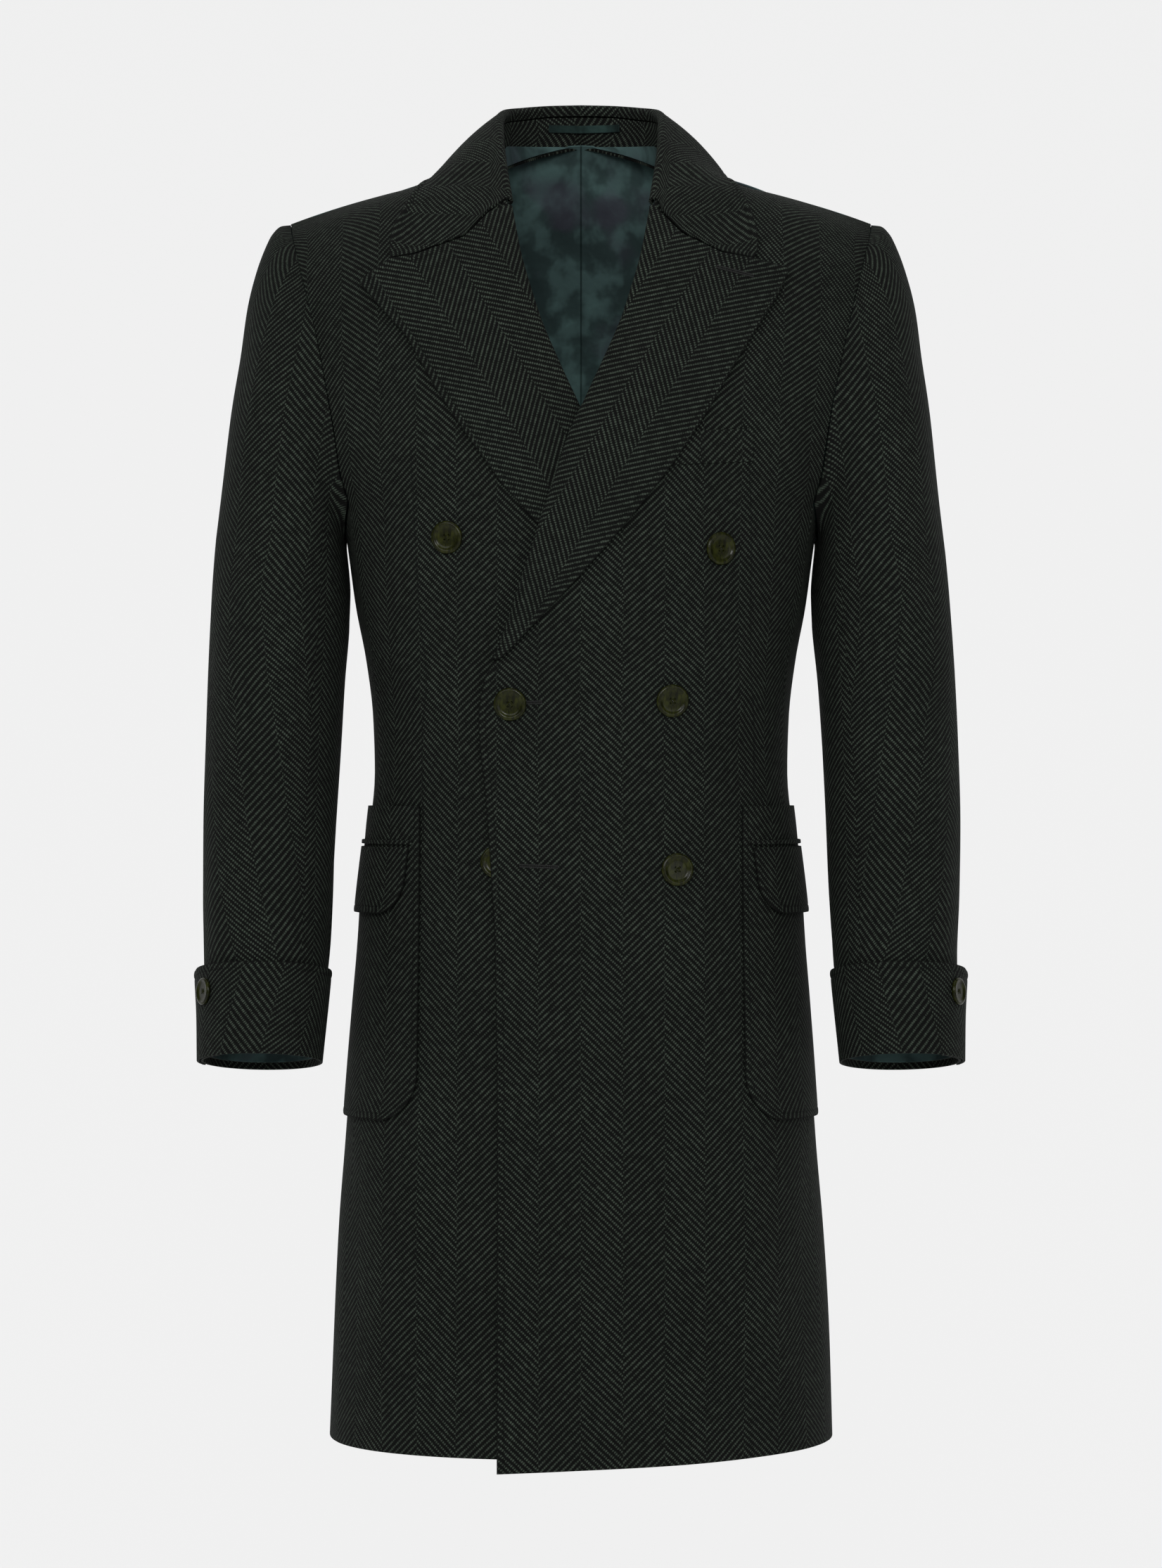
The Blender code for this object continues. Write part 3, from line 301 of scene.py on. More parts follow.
SIDE_ROWS = 15
BACK_ROW_AT = (0, SIDE_ROWS, SIDE_ROWS + 5, SIDE_ROWS + 7, SIDE_ROWS + 9)
BACK_ROW_LEVEL = (HEM_Z, -215, 32, 50, 70)
BACK_ROWS = BACK_ROW_AT[-1]


def facets(grid):
    """The grid's own flat faces, to lay another piece on."""
    rows, columns = grid.shape[:2]
    corner = np.arange(rows * columns).reshape(rows, columns)
    quads = np.stack([corner[:-1, :-1], corner[:-1, 1:], corner[1:, 1:], corner[1:, :-1]], axis=-1)
    vertices = [tuple(point) for point in grid.reshape(-1, 3)]
    return BVHTree.FromPolygons(vertices, quads.reshape(-1, 4).tolist())


RING_STEPS = 160


def ring_sizes(level):
    """The sizes of the ring at each level."""
    return {name: smooth(RINGS["level"], RINGS[name], level)[:, None] for name in RINGS}


def ring_points(level, ring, behind, angle):
    """The points of each level's ring at these angles from the side. behind is false in front of the side."""
    power = 2 / np.where(behind, ring["n_back"], ring["n_front"])
    depth = np.where(behind, ring["back_y"], ring["front_y"]) - ring["side_y"]
    x = ring["half_width"] * np.cos(angle) ** power
    y = ring["side_y"] + depth * np.sin(angle) ** power
    return np.stack([x, y, np.repeat(level[:, None], behind.shape[1], axis=1)], axis=-1)


def ring_full(level):
    """The ring from the centre front round to the centre back, for each level."""
    u = np.linspace(-1, 1, RING_STEPS)[None, :]
    return ring_points(level, ring_sizes(level), u >= 0, np.abs(u) * math.pi / 2)


# Creases of the body, on each side: places are (distance round from the centre front, height)
CREASE_COLUMNS = "x0 z0 x1 z1 width height"
LEFT_CREASES = table(
    CREASE_COLUMNS,
    (95, -430, 165, -395, 11, 1.6),
    (100, -452, 172, -440, 9, -1.5),
    (88, -478, 170, -492, 12, 1.4),
    (20, -470, 60, -560, 13, 1.3),
    (-30, -575, 10, -700, 16, 1.8),
    (40, -600, 60, -860, 24, 2.2),
    (95, -745, 85, -985, 22, -1.8),
    (150, -745, 160, -985, 26, 2.0),
    (215, -750, 205, -985, 24, -2.0),
    (150, -150, 205, -235, 12, -1.6),
    (165, -200, 215, -290, 12, 1.5),
    (290, -430, 380, -400, 12, 1.8),
    (280, -455, 390, -455, 10, -1.8),
    (300, -480, 395, -505, 12, 1.6),
    (330, -560, 345, -980, 26, 2.4),
    (395, -600, 400, -980, 24, -2.0),
    (300, -180, 330, -300, 14, 1.6),
    (340, -120, 385, -170, 14, -1.4),
)
RIGHT_CREASES = table(
    CREASE_COLUMNS,
    (92, -425, 160, -385, 11, 1.7),
    (98, -446, 170, -428, 9, -1.6),
    (84, -470, 168, -486, 12, 1.5),
    (70, -500, 95, -620, 15, 1.4),
    (52, -600, 60, -860, 22, 2.0),
    (100, -745, 92, -985, 22, -1.8),
    (155, -745, 168, -985, 26, 2.2),
    (220, -750, 208, -985, 24, -2.0),
    (148, -150, 200, -240, 12, -1.6),
    (160, -205, 212, -300, 12, 1.6),
    (292, -425, 384, -392, 12, 1.8),
    (284, -450, 392, -450, 10, -1.7),
    (296, -476, 398, -500, 12, 1.6),
    (326, -550, 338, -980, 26, 2.3),
    (400, -610, 392, -980, 24, -2.0),
    (302, -190, 336, -310, 14, 1.5),
    (345, -110, 380, -165, 14, -1.4),
)
BODY_CREASES = {1: LEFT_CREASES, -1: RIGHT_CREASES}

# Creases of the sleeves: places are (distance round from the outer side, positive to the front, height)
SLEEVE_CREASES = {
    1: table(
        CREASE_COLUMNS,
        (60, -300, 115, -345, 12, 2.4),
        (40, -340, 118, -372, 10, -2.2),
        (20, -385, 112, -400, 12, 2.6),
        (10, -425, 108, -428, 10, -2.2),
        (25, -470, 104, -452, 12, 2.2),
        (70, -120, 55, -290, 14, 1.8),
        (30, -80, 20, -300, 18, -1.6),
        (-60, -330, -110, -390, 13, 2.2),
        (-40, -420, -112, -432, 12, -2.0),
        (-30, -470, -100, -460, 13, 2.0),
        (60, -500, 45, -640, 16, 1.6),
        (-50, -120, -55, -300, 18, 1.6),
    ),
    -1: table(
        CREASE_COLUMNS,
        (55, -290, 118, -338, 12, 2.5),
        (35, -332, 116, -366, 10, -2.3),
        (25, -378, 114, -392, 12, 2.4),
        (12, -415, 110, -420, 10, -2.2),
        (30, -462, 106, -446, 12, 2.1),
        (74, -110, 58, -280, 14, 1.9),
        (34, -84, 16, -290, 18, -1.7),
        (-62, -322, -108, -384, 13, 2.2),
        (-42, -412, -110, -424, 12, -2.0),
        (-28, -462, -102, -452, 13, 2.0),
        (56, -505, 48, -645, 16, 1.5),
        (-48, -115, -52, -290, 18, 1.5),
    ),
}
LOOSE_SLEEVE = (-640, -600)  # a sleeve's creases fade out between these heights, above its cuff


def ripple(across, height, seed):
    """The slow unevenness of hanging cloth, about a millimetre."""
    first = np.sin(across / 23 + 1.3 * seed + 0.8 * np.sin(height / 90)) * np.sin(height / 61 + 2.1 * seed)
    second = np.sin(across / 41 - height / 75 + 0.7 * seed) * 0.8
    return 0.55 * (first + second)


def crease_height(rows, across, height):
    """How far soft ridges and troughs lift the cloth at these places."""
    total = np.zeros(np.shape(across))
    for x0, z0, x1, z1, width, rise in zip(*(rows[name] for name in CREASE_COLUMNS.split())):
        run_x, run_z = x1 - x0, z1 - z0
        share = ((across - x0) * run_x + (height - z0) * run_z) / (run_x**2 + run_z**2)
        share = np.clip(share, 0, 1)
        bow = 0.06 * np.sin(math.pi * share)
        beside = across - x0 - run_x * share - run_z * bow
        above = height - z0 - run_z * share + run_x * bow
        gap = np.hypot(beside, above)
        total += rise * np.exp(-((gap / width) ** 2)) * (1 - np.abs(2 * share - 1) ** 3)
    return total


def body_lift(across, height, side):
    """The lift of the body's cloth, at a distance round from the centre front."""
    settle = 1 - 0.7 * fade(np.abs(height), 60, 180)
    return crease_height(BODY_CREASES[side], across, height) + ripple(across, height, side) * settle


def sleeve_lift(across, height, side):
    loose = fade(height, LOOSE_SLEEVE[1], LOOSE_SLEEVE[0])
    head = fade(height, -150, -70)
    lift = crease_height(SLEEVE_CREASES[side], across, height) + 1.3 * ripple(across, height, 3 * side)
    return lift * loose * head


# Grids
EDGE_STEPS = np.array([0, 0.7, 1.6, 3.0, 4.0, 4.7, 5.3, 6.0, 7.2, 9.0, 12.0])  # beside a stitched edge
PLAIN_STEPS = np.array([0, 0.8])


def divisions(count, lengths, low, high):
    """Shares across each row: even steps, with closer ones beside an edge that is stitched."""
    near = EDGE_STEPS if low else PLAIN_STEPS
    far = EDGE_STEPS if high else PLAIN_STEPS
    reach = near[-1] + far[-1]
    lengths = np.atleast_1d(lengths)[:, None]
    shrink = np.minimum(1, 0.8 * lengths / reach)
    middle = np.linspace(0, 1, count + 1)[1:-1]
    fixed = np.concatenate([near, np.full(count - 1, near[-1]), reach - far[::-1]])
    share = np.concatenate([np.zeros(len(near)), middle, np.ones(len(far))])
    return (fixed * shrink + share * (lengths - reach * shrink)) / lengths


def row_lengths(place, shares):
    """The length of each row of a piece."""
    s, t = np.meshgrid(np.linspace(0, 1, 25), shares)
    points = place(s.ravel(), t.ravel()).reshape(len(shares), 25, 3)
    return np.linalg.norm(np.diff(points, axis=1), axis=2).sum(axis=1)


def fine_grid(place, columns, rows, height, stitched=(False,) * 4):
    """Shares and points of a piece. stitched names its left, right, bottom and top edges."""
    left, right, bottom, top = stitched
    t = divisions(rows, height, bottom, top)[0]
    s = divisions(columns, row_lengths(place, t), left, right)
    t = np.repeat(t[:, None], s.shape[1], axis=1)
    return s, t, place(s.ravel(), t.ravel()).reshape(*s.shape, 3)


def run_along(points, axis):
    """The distance from the first point along each row or column."""
    steps = np.linalg.norm(np.diff(points, axis=axis), axis=2)
    pad = ((0, 0), (1, 0)) if axis == 1 else ((1, 0), (0, 0))
    return np.cumsum(np.pad(steps, pad), axis=axis)


def grid_normals(points, facing):
    """The normal at each point, on the side that facing points to on average."""
    normals = unit(np.cross(np.gradient(points, axis=1), np.gradient(points, axis=0)))
    return normals if np.sum(normals * facing) > 0 else -normals


def ring_reach(level):
    """The distances from the centre front to the front seam and to the centre back."""
    rings = ring_full(np.clip(level, RINGS["level"][0], RINGS["level"][-1]))
    reach = run_along(rings, 1)
    seam_x = FRONT_SEAM_RHO * smooth(RINGS["level"], RINGS["half_width"], level)
    half = RING_STEPS // 2
    front = [np.interp(x, ring[:half, 0], r[:half]) for x, ring, r in zip(seam_x, rings, reach)]
    return np.array(front), reach[:, -1]


def trimmed(points, gaps):
    """The grid with its left, right, bottom and top borders pulled in by these gaps."""
    left, right, bottom, top = gaps
    pulls = (
        ((slice(None), 0), (slice(None), 1), left),
        ((slice(None), -1), (slice(None), -2), right),
        (0, 1, bottom),
        (-1, -2, top),
    )
    for border_row, inner, gap in pulls:
        if gap:
            points[border_row] = points[border_row] + unit(points[inner] - points[border_row]) * gap
    return points


# The fronts with their creases, which everything on the chest is laid on
def front_grid(side):
    """A front's points, outward normals and distances round from the centre front."""
    stitched = (True, False, True, False)
    points = fine_grid(front_panel(side), 44, 96, 1040, stitched)[2]
    normals = grid_normals(points, (0, -1, 0))
    across = points[:, :1, 0] + run_along(points, 1)
    points = points + normals * body_lift(across, points[..., 2], side)[..., None]
    return points, normals, across


IN_FRONT_Y = -400.0  # clear of the coat, where rays on to the fronts start
FRONT_GRID = {side: front_grid(side) for side in (1, -1)}
FRONT_FACETS = {side: facets(FRONT_GRID[side][0]) for side in (1, -1)}


def front_surface(x, z, side, out=0.0):
    """The point of a front's own faces behind x and z, moved out by this much. side is 1 on the left."""
    level = level_at(FRONT, x, z)
    normal = front_normal(x, level, side)
    base = front_point(x, level, side)
    for i, point in enumerate(base):
        found = FRONT_FACETS[side].ray_cast((point[0], IN_FRONT_Y, point[2]), (0, 1, 0))[0]
        if found is not None:
            base[i] = found
    return base + normal * np.expand_dims(out, -1)


def back_panel(s, t):
    """Rows from the hem to the neck and shoulder, each from the centre back seam to the side seam."""
    level = np.interp(t * BACK_ROWS, BACK_ROW_AT, BACK_ROW_LEVEL)
    start = smooth(BACK_NECK["level"], BACK_NECK["x"], level)
    end = smooth(BACK["level"], BACK["rho"] * BACK["width"], level)
    x = start[:, None] + (end - start)[:, None] * np.linspace(0, 1, SAMPLES)
    return along(body_point(BACK, x, np.repeat(level[:, None], SAMPLES, axis=1)), s)


def ring_side(level):
    """The ring from the front seam round the side to the back seam, for each level."""
    ring = ring_sizes(level)
    u = np.linspace(-1, 1, SAMPLES)[None, :]
    front_start = np.arccos(FRONT_SEAM_RHO ** (ring["n_front"] / 2))
    back_end = np.arccos(ring["rho_back"] ** (ring["n_back"] / 2))
    return ring_points(level, ring, u >= 0, np.where(u < 0, -u * front_start, u * back_end))


def side_panel(s, t):
    """From the hem to the underarm, round the side from the front seam to the back seam."""
    top = smooth(SIDE_TOP["share"], SIDE_TOP["z"], s)
    level = HEM_Z + (top - HEM_Z) * t
    return along(ring_side(level), s)


# Sleeves: sections from the crown to the wrist, each an ellipse between an outer and an inner point
SLEEVE = table(
    "outer_x outer_z inner_x inner_z middle_y half_depth tilt",
    (229.3, -37.5, 186.2, -289, 4, 68, 0),
    (236, -39, 186.5, -290, 4, 69.5, 0),
    (243, -46, 186.6, -291.5, 4, 71, 0),
    (249.5, -60, 186.5, -294, 4, 72, 0),
    (256, -79, 186.2, -297, 3.5, 72, 0),
    (262.5, -104, 185.7, -301, 3, 72, 0),
    (269, -143, 185, -307, 3, 71, 0),
    (276, -187, 184, -316, 2, 70, 0),
    (282.5, -252, 183, -331, 0, 68.5, 1),
    (289.5, -332, 183.5, -356, -3, 66.5, 2),
    (292.5, -396, 187.5, -402, -9, 64, 4),
    (293.8, -450, 190.3, -452, -18, 61.5, 6),
    (294.8, -508, 193, -508, -30, 59, 8),
    (294, -565, 194.8, -565, -42, 56.5, 9),
    (291.7, -618, 197.5, -618, -52, 54.5, 9.5),
    (289.8, -690, 204.5, -690, -66, 52, 10),
)
SECTIONS = len(SLEEVE["tilt"]) - 1
BLEND_SECTIONS = 4.0  # the armhole's own shape fades out over these sections
FOREARM_SEAM, ELBOW_SEAM = 128.0, 242.0  # degrees round from the outer side, through the front
SLEEVE_OFF = table(
    "turn off",
    (0, 1.0),
    (60, 1.4),
    (120, 2.0),
    (180, 3.2),
    (240, 2.0),
    (300, 1.4),
    (360, 1.0),
)


def armhole_half(front):
    """One half of the armhole, from the shoulder seam down to the lowest point of the underarm."""
    rows = FRONT if front else BACK
    level = np.linspace(rows["level"][-1], -262 if front else -215, SAMPLES)
    x = smooth(rows["level"], rows["rho"] * rows["width"], level)
    share = np.linspace(0, 0.5, 16) if front else np.linspace(1, 0.5, 16)
    under = along(ring_side(smooth(SIDE_TOP["share"], SIDE_TOP["z"], share)), share)
    return np.concatenate([body_point(rows, x, level), under[1:]])


ARMHOLE = {front: armhole_half(front) for front in (True, False)}


def armhole_point(turn):
    """The armhole's point for each turn in degrees, from the shoulder seam through the front."""
    turn = np.mod(turn, 360.0)
    share = np.where(turn <= 180, turn, 360 - turn) / 180
    front = along(np.repeat(ARMHOLE[True][None], len(share), axis=0), share)
    back = along(np.repeat(ARMHOLE[False][None], len(share), axis=0), share)
    return np.where((turn <= 180)[:, None], front, back)


def sleeve_section(section, turn):
    """The point of an elliptical section at this turn in degrees."""
    index = np.arange(SECTIONS + 1.0)
    at = {name: smooth(index, SLEEVE[name], section) for name in SLEEVE}
    angle = np.radians(turn)
    lean = np.cos(angle)
    x = (at["outer_x"] + at["inner_x"]) / 2 + (at["outer_x"] - at["inner_x"]) / 2 * lean
    forward = at["half_depth"] * np.sin(angle)
    z = (at["outer_z"] + at["inner_z"]) / 2 + (at["outer_z"] - at["inner_z"]) / 2 * lean
    z = z + forward * np.tan(np.radians(at["tilt"]))
    return np.stack([x, at["middle_y"] - forward, z], axis=-1)


def sleeve_point(section, turn):
    """The sleeve, which starts on the armhole's shape and eases into its own sections."""
    own = sleeve_section(section, turn)
    start = sleeve_section(np.zeros_like(section), turn)
    target = armhole_point(turn)
    target[:, 0] += smooth(SLEEVE_OFF["turn"], SLEEVE_OFF["off"], np.mod(turn, 360.0))
    hold = np.clip(1 - section / BLEND_SECTIONS, 0, 1)[:, None] ** 2
    return own + (target - start) * hold


def sleeve_panel(start, end):
    def place(s, t):
        return sleeve_point(SECTIONS * t, start + (end - start) * s)

    return place


def sleeve_outside(section, turn, out):
    """A point moved out from the sleeve's surface by this much."""
    around = sleeve_point(section, turn + 2) - sleeve_point(section, turn - 2)
    low = np.minimum(section + 0.05, SECTIONS)
    down = sleeve_point(low, turn) - sleeve_point(low - 0.1, turn)
    normal = unit(np.cross(around, down))
    return sleeve_point(section, turn) + normal * np.expand_dims(out, -1)


# Turn-back cuffs, wound once round with their free end lapped at the outer back
CUFF_TOP_SECTION = 14.11
CUFF_OVERHANG = 5.0
CUFF_START, CUFF_END = 52.0, -382.0
CUFF_OUT, CUFF_LAP = 3.4, 3.2
CUFF_FLARE = 5.0
CUFF_BUTTON_TURN, CUFF_BUTTON_SECTION = 35.0, 14.4


def cuff_strip(s, t):
    section = SECTIONS + (CUFF_TOP_SECTION - SECTIONS) * t
    lapped = fade(s, 0.825, 0.74)
    flare = fade(s, 1.0, 0.93) * fade(t, 1, 0.1)
    out = CUFF_OUT + CUFF_LAP * lapped + CUFF_FLARE * flare
    points = sleeve_outside(section, CUFF_START + (CUFF_END - CUFF_START) * s, out)
    points[:, 2] -= CUFF_OVERHANG * (1 - t)
    return points


# Lapels, in the front view: x away from the centre line, mirrored on the right
LEFT_LAPEL = np.array(
    [
        (-58.5, -383.5),
        (-53.7, -378.6),
        (-29.9, -352),
        (0, -319.3),
        (35.8, -277.6),
        (71.4, -229.5),
        (95.3, -193.4),
        (129, -137.5),
        (150.5, -103.3),
        (158.6, -84.2),
    ]
)
RIGHT_LAPEL = np.array(
    [
        (-58.5, -383.5),
        (-53.7, -378.6),
        (-29.9, -352),
        (0, -319.3),
        (35.8, -277.4),
        (59.9, -250.4),
        (83.5, -217.3),
        (107.8, -180.6),
        (132.1, -137.5),
        (156.7, -109.3),
        (169.5, -92.9),
    ]
)
LEFT_GORGE = np.array([(56, -32), (62.3, -41), (76.9, -57.2), (106, -72), (130.6, -76.5), (158.6, -84.2)])
RIGHT_GORGE = np.array(
    [
        (56, -32),
        (69.7, -38),
        (80, -50),
        (88.5, -59.2),
        (109.3, -67),
        (126.6, -73.2),
        (145.6, -75.6),
        (169.5, -92.9),
    ]
)
LAPEL_COLUMNS = 12
TAIL_SHARE = 1 / LAPEL_COLUMNS  # the lapel's inside tail is its first column
FOLD_SHARE = 5 / LAPEL_COLUMNS  # and the next four go round the front's edge
TAIL, TAIL_INWARD = 8.0, 1.2


def polyline(points, share):
    """The point of a flat outline at this share of its length."""
    return along(np.repeat(np.pad(points, ((0, 0), (0, 1)))[None], len(share), axis=0), share)[:, :2]


def roll_point(level, side):
    """The front's edge at this level, its outward normal and the direction into the opening."""
    edge = smooth(FRONT_EDGE["level"], FRONT_EDGE["x"], level)

    def at(row):
        return front_point(smooth(FRONT_EDGE["level"], FRONT_EDGE["x"], row), row, side)

    normal = front_normal(edge, level, side)
    tangent = unit(at(level + 2) - at(level - 2))
    return at(level), normal, unit(np.cross(normal, tangent))


def lapel(side):
    """From inside the opening, round the front's edge and out over the chest to the lapel's own edge."""
    outline, gorge = (LEFT_LAPEL, LEFT_GORGE) if side > 0 else (RIGHT_LAPEL, RIGHT_GORGE)
    levels = np.linspace(LAPEL_ROW_LEVEL[0], LAPEL_ROW_LEVEL[-1], SAMPLES)
    roll_path = roll_point(levels, side)[0]
    reach = np.concatenate([[0], np.cumsum(np.linalg.norm(np.diff(roll_path, axis=0), axis=1))])

    def place(s, t):
        level = np.interp(t * LAPEL_ROWS, LAPEL_ROW_AT, LAPEL_ROW_LEVEL)
        along_roll = np.interp(level, levels, reach) / reach[-1]
        roll, normal, opening = roll_point(level, side)
        if np.mean(opening[:, 0]) > 0:
            opening = -opening
        turn = np.interp(s, [TAIL_SHARE, FOLD_SHARE], [-90, 90])
        angle = np.radians(turn)
        fold = roll + ROLL_RADIUS * (opening * np.cos(angle)[:, None] + normal * np.sin(angle)[:, None])
        inside = np.clip(1 - s / TAIL_SHARE, 0, 1)
        fold = fold - opening * (inside * TAIL)[:, None] - normal * (inside * TAIL_INWARD)[:, None]
        out = np.clip((s - FOLD_SHARE) / (1 - FOLD_SHARE), 0, 1)
        edge = polyline(outline, along_roll)
        start = np.stack([roll[:, 0], roll[:, 2]], axis=-1)
        flat = start + (edge - start) * out[:, None]
        chord = gorge[0] + (gorge[-1] - gorge[0]) * out[:, None]
        flat = flat + (polyline(gorge, out) - chord) * (along_roll**4)[:, None]
        high = LAPEL_LIFT if side < 0 else LAPEL_LIFT + WELT_ALLOWANCE
        height = ROLL_RADIUS + (high - ROLL_RADIUS) * fade(out, 0.3, 0)
        leaf = front_surface(flat[:, 0], flat[:, 1], side, height)
        return np.where((s < FOLD_SHARE + 0.001)[:, None], fold, leaf)

    return place


# Collar: its neck seam, its fold and its outer edge, from the centre back to the gorge
COLLAR_FOLD = table(
    "share x y z",
    (0, 0, 79, 67),
    (0.15, 25, 76, 66),
    (0.3, 46, 60, 62),
    (0.45, 60, 34, 56),
    (0.6, 63, 5, 46),
    (0.75, 61.5, -25, 27),
    (0.88, 58.5, -50, 2),
    (1, 53.4, -77, -29.5),
)
COLLAR_EDGE_BACK = table(
    "share x y z",
    (0, 0, 90, 16),
    (0.15, 32, 90, 15),
    (0.22, 47, 88, 14),
    (0.3, 63, 85, 14),
    (0.375, 81, 75, 17),
    (0.45, 97, 56, 11),
    (0.58, 116, 20, 0),
)
COLLAR_EDGE_FRONT = {
    1: table(
        "share x z",
        (0.7, 113, -7),
        (0.8, 125, -23.5),
        (0.88, 136, -45),
        (0.95, 139.5, -64),
        (1, 131, -75.5),
    ),
    -1: table(
        "share x z",
        (0.7, 121, -11),
        (0.8, 134, -30),
        (0.88, 144, -46),
        (0.95, 146, -61),
        (1, 143, -73),
    ),
}
FOLD_RADIUS = 3.0
STAND_SEAM_DROP = 9.0  # the stand's own top edge, below the fold
STAND_START = 1.6
STAND_SHARE = 0.84  # beyond this the collar folds straight round the front's edge
COLLAR_OVER = 4.0  # the collar's middle above the body's
SHOULDER_OVER = 4.2  # and this much more where it bends over the back of the shoulder


def neck_seam():
    """The neck edge of the back and then of the front, down to the gorge."""
    back_level = np.linspace(32, 70, 24)
    back_x = smooth(BACK_NECK["level"], BACK_NECK["x"], back_level)
    front_level = np.linspace(36, GORGE_LEVEL, 24)
    front_x = smooth(FRONT_EDGE["level"], FRONT_EDGE["x"], front_level)
    front = body_point(FRONT, front_x, front_level)
    seam = np.concatenate([body_point(BACK, back_x, back_level), front[1:]])
    return along(np.repeat(seam[None], 1200, axis=0), np.linspace(0, 1, 1200))


NECK_SEAM = neck_seam()


TREE_STEPS = 60
TREE_LOW = ((FRONT, -160), (BACK, -120))  # the levels where the upper body starts


def body_tree():
    """The upper body on both sides, to find what a collar lies over."""
    vertices, faces = [], []
    shares = np.linspace(0, 1, TREE_STEPS)
    for rows, low in TREE_LOW:
        levels = np.linspace(low, rows["level"][-1], TREE_STEPS)
        for side in (1, -1):
            first = len(vertices)
            for level in levels:
                x = shares * smooth(rows["level"], rows["rho"] * rows["width"], level)
                row = body_point(rows, x, np.full(TREE_STEPS, level)) * (side, 1, 1)
                vertices.extend(map(tuple, row))
            outward = (rows is FRONT) == (side > 0)
            for j in range(TREE_STEPS - 1):
                for i in range(TREE_STEPS - 1):
                    a = first + j * TREE_STEPS + i
                    quad = (a, a + 1, a + 1 + TREE_STEPS, a + TREE_STEPS)
                    faces.append(quad if outward else quad[::-1])
    return BVHTree.FromPolygons(vertices, faces)


def held_clear(tree, points, clearance):
    """Each point moved out of the body until it is this far off."""
    result = points.copy()
    for i, point in enumerate(points):
        found, normal, _, _ = tree.find_nearest(tuple(point))
        away = np.array(point) - np.array(found)
        height = float(away @ np.array(normal))
        if height < clearance[i]:
            result[i] = point + np.array(normal) * (clearance[i] - height)
    return result


def on_body(tree, point, clearance):
    found, normal, _, _ = tree.find_nearest(tuple(point))
    return np.array(found) + np.array(normal) * clearance


TREE = body_tree()


def collar_edge_path(side):
    """The collar's outer edge on one side, laid on the body."""
    back = np.stack([COLLAR_EDGE_BACK[axis] for axis in "xyz"], axis=-1)
    back = np.array([on_body(TREE, point, COLLAR_OVER) for point in back])
    edge = COLLAR_EDGE_FRONT[side]
    front = front_surface(edge["x"], edge["z"], side, COLLAR_OVER)
    share = np.concatenate([COLLAR_EDGE_BACK["share"], edge["share"]])
    return share, np.concatenate([back, front])


COLLAR_EDGE = {side: collar_edge_path(side) for side in (1, -1)}


def collar_lines(share, side):
    """The neck seam, fold and outer edge at this share, before mirroring."""
    fold = np.stack([smooth(COLLAR_FOLD["share"], COLLAR_FOLD[axis], share) for axis in "xyz"], axis=-1)
    knots, points = COLLAR_EDGE[side]
    edge = np.stack([smooth(knots, points[:, axis], share) for axis in range(3)], axis=-1)
    gap = np.linalg.norm(fold[:, None] - NECK_SEAM[None], axis=-1)
    return NECK_SEAM[np.argmin(gap, axis=1)], fold, edge


def collar_frame(share, side):
    """The lines of a section, with the direction up its crest and the one out across it."""
    seam, fold, edge = collar_lines(share, side)
    after = collar_lines(np.minimum(share + 0.02, 1), side)[1]
    before = collar_lines(np.maximum(share - 0.02, 0), side)[1]
    tangent = unit(after - before)
    crest = fold - (seam + edge) / 2
    crest = unit(crest - tangent * np.sum(crest * tangent, axis=-1, keepdims=True))
    return seam, fold, edge, crest, np.cross(crest, tangent)


def halves(place):
    """A piece that runs from the right end, past the centre back, to the left end."""

    def both(s, t):
        points = np.zeros((len(s), 3))
        for side in (1, -1):
            here = (s >= 0.5) if side > 0 else (s < 0.5)
            if here.any():
                points[here] = place(np.abs(2 * s[here] - 1), t[here], side) * (side, 1, 1)
        return points

    return both


def stand_drop(seam, fold):
    """How far below the fold the stand ends, less where the collar runs out at the gorge."""
    return np.minimum(STAND_SEAM_DROP, 0.5 * np.linalg.norm(fold - seam, axis=-1, keepdims=True))


def stand_half(s, t, side, out=0.0):
    """The stand, from the neck seam to its own top seam inside the fold."""
    share = s * STAND_SHARE
    seam, fold, _, crest, outward = collar_frame(share, side)
    top = fold - crest * stand_drop(seam, fold) - outward * FOLD_RADIUS
    low = seam + unit(top - seam) * STAND_START
    return low + (top - low) * t[:, None] - outward * out


COLLAR_BEND_SHARE, COLLAR_CREST_SHARE = 0.1, 0.5  # where its fold starts inside, and where it ends
COLLAR_SPREAD = ([0, 0.55, 1], [0, 0.66, 1])


